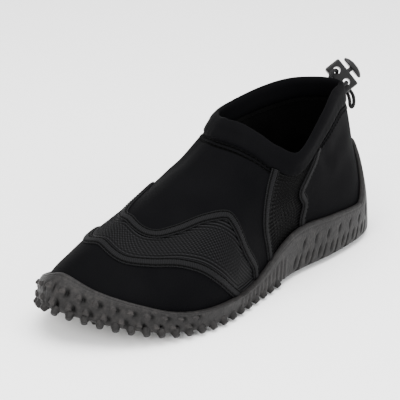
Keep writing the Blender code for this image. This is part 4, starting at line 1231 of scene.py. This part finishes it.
def sweptSide(u, outside):
    # smooth curve through the control points of each section, with the relief added square to it
    knots = np.stack(outside, 1)
    count = knots.shape[1]
    at = np.concatenate([np.linspace(0, 2, 5)[:-1], np.linspace(2, 4, sole["sideRows"])[:-1],
                         np.linspace(4, count - 1, 6)])
    before, after = 2 * knots[:, :1] - knots[:, 1:2], 2 * knots[:, -1:] - knots[:, -2:-1]
    padded = np.concatenate([before, knots, after], 1)
    i = np.minimum(at.astype(int), count - 2)
    side = spanPoint(*(padded[:, i + k] for k in range(4)), (at - i)[None, :, None])
    normal = np.cross(np.roll(side, -1, 0) - np.roll(side, 1, 0), np.gradient(side, axis=1))
    normal /= np.linalg.norm(normal, axis=-1, keepdims=True)
    if (normal * (side.mean((0, 1)) - side)).sum() > 0:
        normal = -normal
    height = np.clip((4.6 - at) / 2.7, -0.2, 1.1)[None, :]      # 0 at the foot, 1 at the crest
    relief = sideRelief(u, runAlong(outline(u)), np.broadcast_to(height, side.shape[:2]))
    return side + normal * relief[..., None], relief


def treadRows(floor):
    # the tread across the shoe, cut by wavy sipes: a flat-topped bell round each, faded at the waist
    s = np.linspace(0, 1, sole["across"])[1:-1]
    tread = acrossRing(floor, s)
    local = tread - shoeShift
    tread[..., 2] = treadHeight(local[..., 0], local[..., 1]) + shoeShift[2]
    wave = local[..., 0] + sole["sipeBend"] * np.sin(local[..., 1] * 2 * math.pi / sole["sipeWave"])
    off = ((wave / sole["sipePitch"]) % 1.0 - 0.5) * sole["sipePitch"]
    share, fade = local[..., 0] / shoe["length"], sole["sipeFade"]
    waist = smoothStep((share - sole["waist"][0]) / fade) * smoothStep((sole["waist"][1] - share) / fade)
    edge = smoothStep(np.minimum(s, 1 - s) / 0.08)[None, :]
    ends = smoothStep((share - sole["sipes"][0]) / fade) * smoothStep((sole["sipes"][1] - share) / fade)
    tread[..., 2] += sole["sipeDepth"] * bell(off, sole["sipeWidth"] / 2) * edge * ends * (1 - waist)
    return tread


def edgeStuds():
    # one row round the forefoot's edge, pointing out and down
    turns = outlinePlaces(sole["edgePitch"], *sole["forefoot"])
    flat = outline(turns, np.full(turns.shape, sole["edgeInset"]))
    out = outline(turns, np.zeros(turns.shape)) - outline(turns, np.full(turns.shape, 0.002))
    out /= np.linalg.norm(out, axis=1, keepdims=True)
    rise = treadHeight(flat[:, 0], flat[:, 1]) + sole["studSink"] + sole["edgeRaise"]
    droop = sole["edgeDroop"]
    ways = np.column_stack([out * math.cos(droop), np.full(len(out), -math.sin(droop))])
    lengths = np.full(len(out), shoe["studHeight"] + 1.5 * sole["studSink"])
    return studShapes(np.column_stack([flat, rise]) + shoeShift, ways, lengths), len(turns)


def treadStuds():
    # staggered rows under heel and forefoot: down to the ground, or full height where the toe springs
    flat = treadPlaces()
    rise = treadHeight(flat[:, 0], flat[:, 1]) - shoe["studHeight"]
    foot = np.where(rise > 0.2 * shoe["studHeight"], rise, 0.0)
    top = rise + shoe["studHeight"] + sole["studSink"]
    down = np.tile([[0, 0, -1.0]], (len(flat), 1))
    return studShapes(np.column_stack([flat, top]) + shoeShift, down, top - foot), len(flat)


def makeSole():
    # the cup's section swept round the outline, closed above and below from side to side, then the studs
    u = evenTurns(sole["around"])
    inside, outside = soleProfile(u)
    side, relief = sweptSide(u, outside)
    flat = outline(u, np.full(u.shape, sole["floorRing"]))
    floor = np.column_stack([flat, treadHeight(flat[:, 0], flat[:, 1])]) + shoeShift
    rings = np.concatenate([np.stack(inside, 1), side, floor[:, None]], 1)
    points = rings.reshape(-1, 3)
    columns = rings.shape[1]
    ring = np.arange(sole["around"]) * columns
    tread = treadRows(floor)
    allFaces = gridFaces(sole["around"], columns, closedRows=True)[0].tolist()
    allFaces += stripFaces(ring) + bridgeFaces(ring + columns - 1, tread, len(points))
    points = np.concatenate([points, tread.reshape(-1, 3)])
    # the relief mark, low in grooves, ovals and hollows and high on raised crowns, drives the rubber's
    # painted shade and painted highlights
    marks = np.full(rings.shape[:2], 0.5)
    marks[:, len(inside):-1] = np.clip(0.5 + relief / sole["reliefRange"], 0, 1)
    print("sole wall and tread", len(allFaces), "faces")

    counts = []
    for (more, quads, caps), count in (edgeStuds(), treadStuds()):
        allFaces += (quads + len(points)).tolist() + (caps + len(points)).tolist()
        points = np.concatenate([points, more])
        counts.append(count)
    piece = pieceFrom("cup_sole", points, allFaces, rubber)
    markPoints(piece, "relief", np.concatenate([marks.reshape(-1), np.full(len(points) - marks.size, 0.5)]))
    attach(piece, "shoe")
    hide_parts("outsole")
    print("sole", len(allFaces), "faces,", counts[0], "edge studs,", counts[1], "tread studs")


makeSole()


# Insole

insole = {"around": 320, "across": 40, "thickness": 0.0035, "clearance": 0.0010, "tuck": 0.006,
          "edge": 0.0020, "lowEdge": 0.4, "quilt": 0.0003, "quiltPitch": 0.009}


def makeInsole(look):
    # flat pad with a soft top edge, its cover pressed into shallow lozenges by a product of two waves
    u = evenTurns(look["around"])
    inset = shoe["soleWall"] + shoe["wall"] + 2 * shoe["seat"] + look["clearance"]
    base = shoe["soleFloor"] + shoe["seat"]
    low, thick = look["lowEdge"], look["thickness"]

    def ring(extra, up):
        flat = outline(u, np.full(u.shape, inset + extra))
        return np.column_stack([flat, treadHeight(flat[:, 0], flat[:, 1]) + base + up])
    rings = [ring(look["tuck"], 0.0), ring(0.0, 0.0), ring(0.0, low * thick)]
    for t in np.linspace(0, math.pi / 2, 5)[1:]:
        rings.append(ring(look["edge"] * (1 - math.cos(t)), thick * (low + (1 - low) * math.sin(t))))
    grid = np.stack(rings, 1)
    columns = grid.shape[1]
    s = np.linspace(0, 1, look["across"])[1:-1]
    top = acrossRing(grid[:, -1], s)
    x, y = top[..., 0], top[..., 1]
    turn = 2 * math.pi / look["quiltPitch"]
    quilt = (np.cos(turn * (x + y)) * np.cos(turn * (x - y))) ** 2
    fade = smoothStep(np.minimum(s, 1 - s) / 0.1)[None, :]
    top[..., 2] = treadHeight(x, y) + base + thick - look["quilt"] * fade * quilt
    bottom = np.arange(look["around"]) * columns
    allFaces = gridFaces(look["around"], columns, closedRows=True)[0].tolist()
    allFaces += stripFaces(bottom) + bridgeFaces(bottom + columns - 1, top, look["around"] * columns)
    points = np.concatenate([grid.reshape(-1, 3), top.reshape(-1, 3)]) + shoeShift
    piece = pieceFrom("foam_insole", points, allFaces, lining)
    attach(piece, "shoe")
    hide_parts("insole")


makeInsole(insole)
print("insole ready")
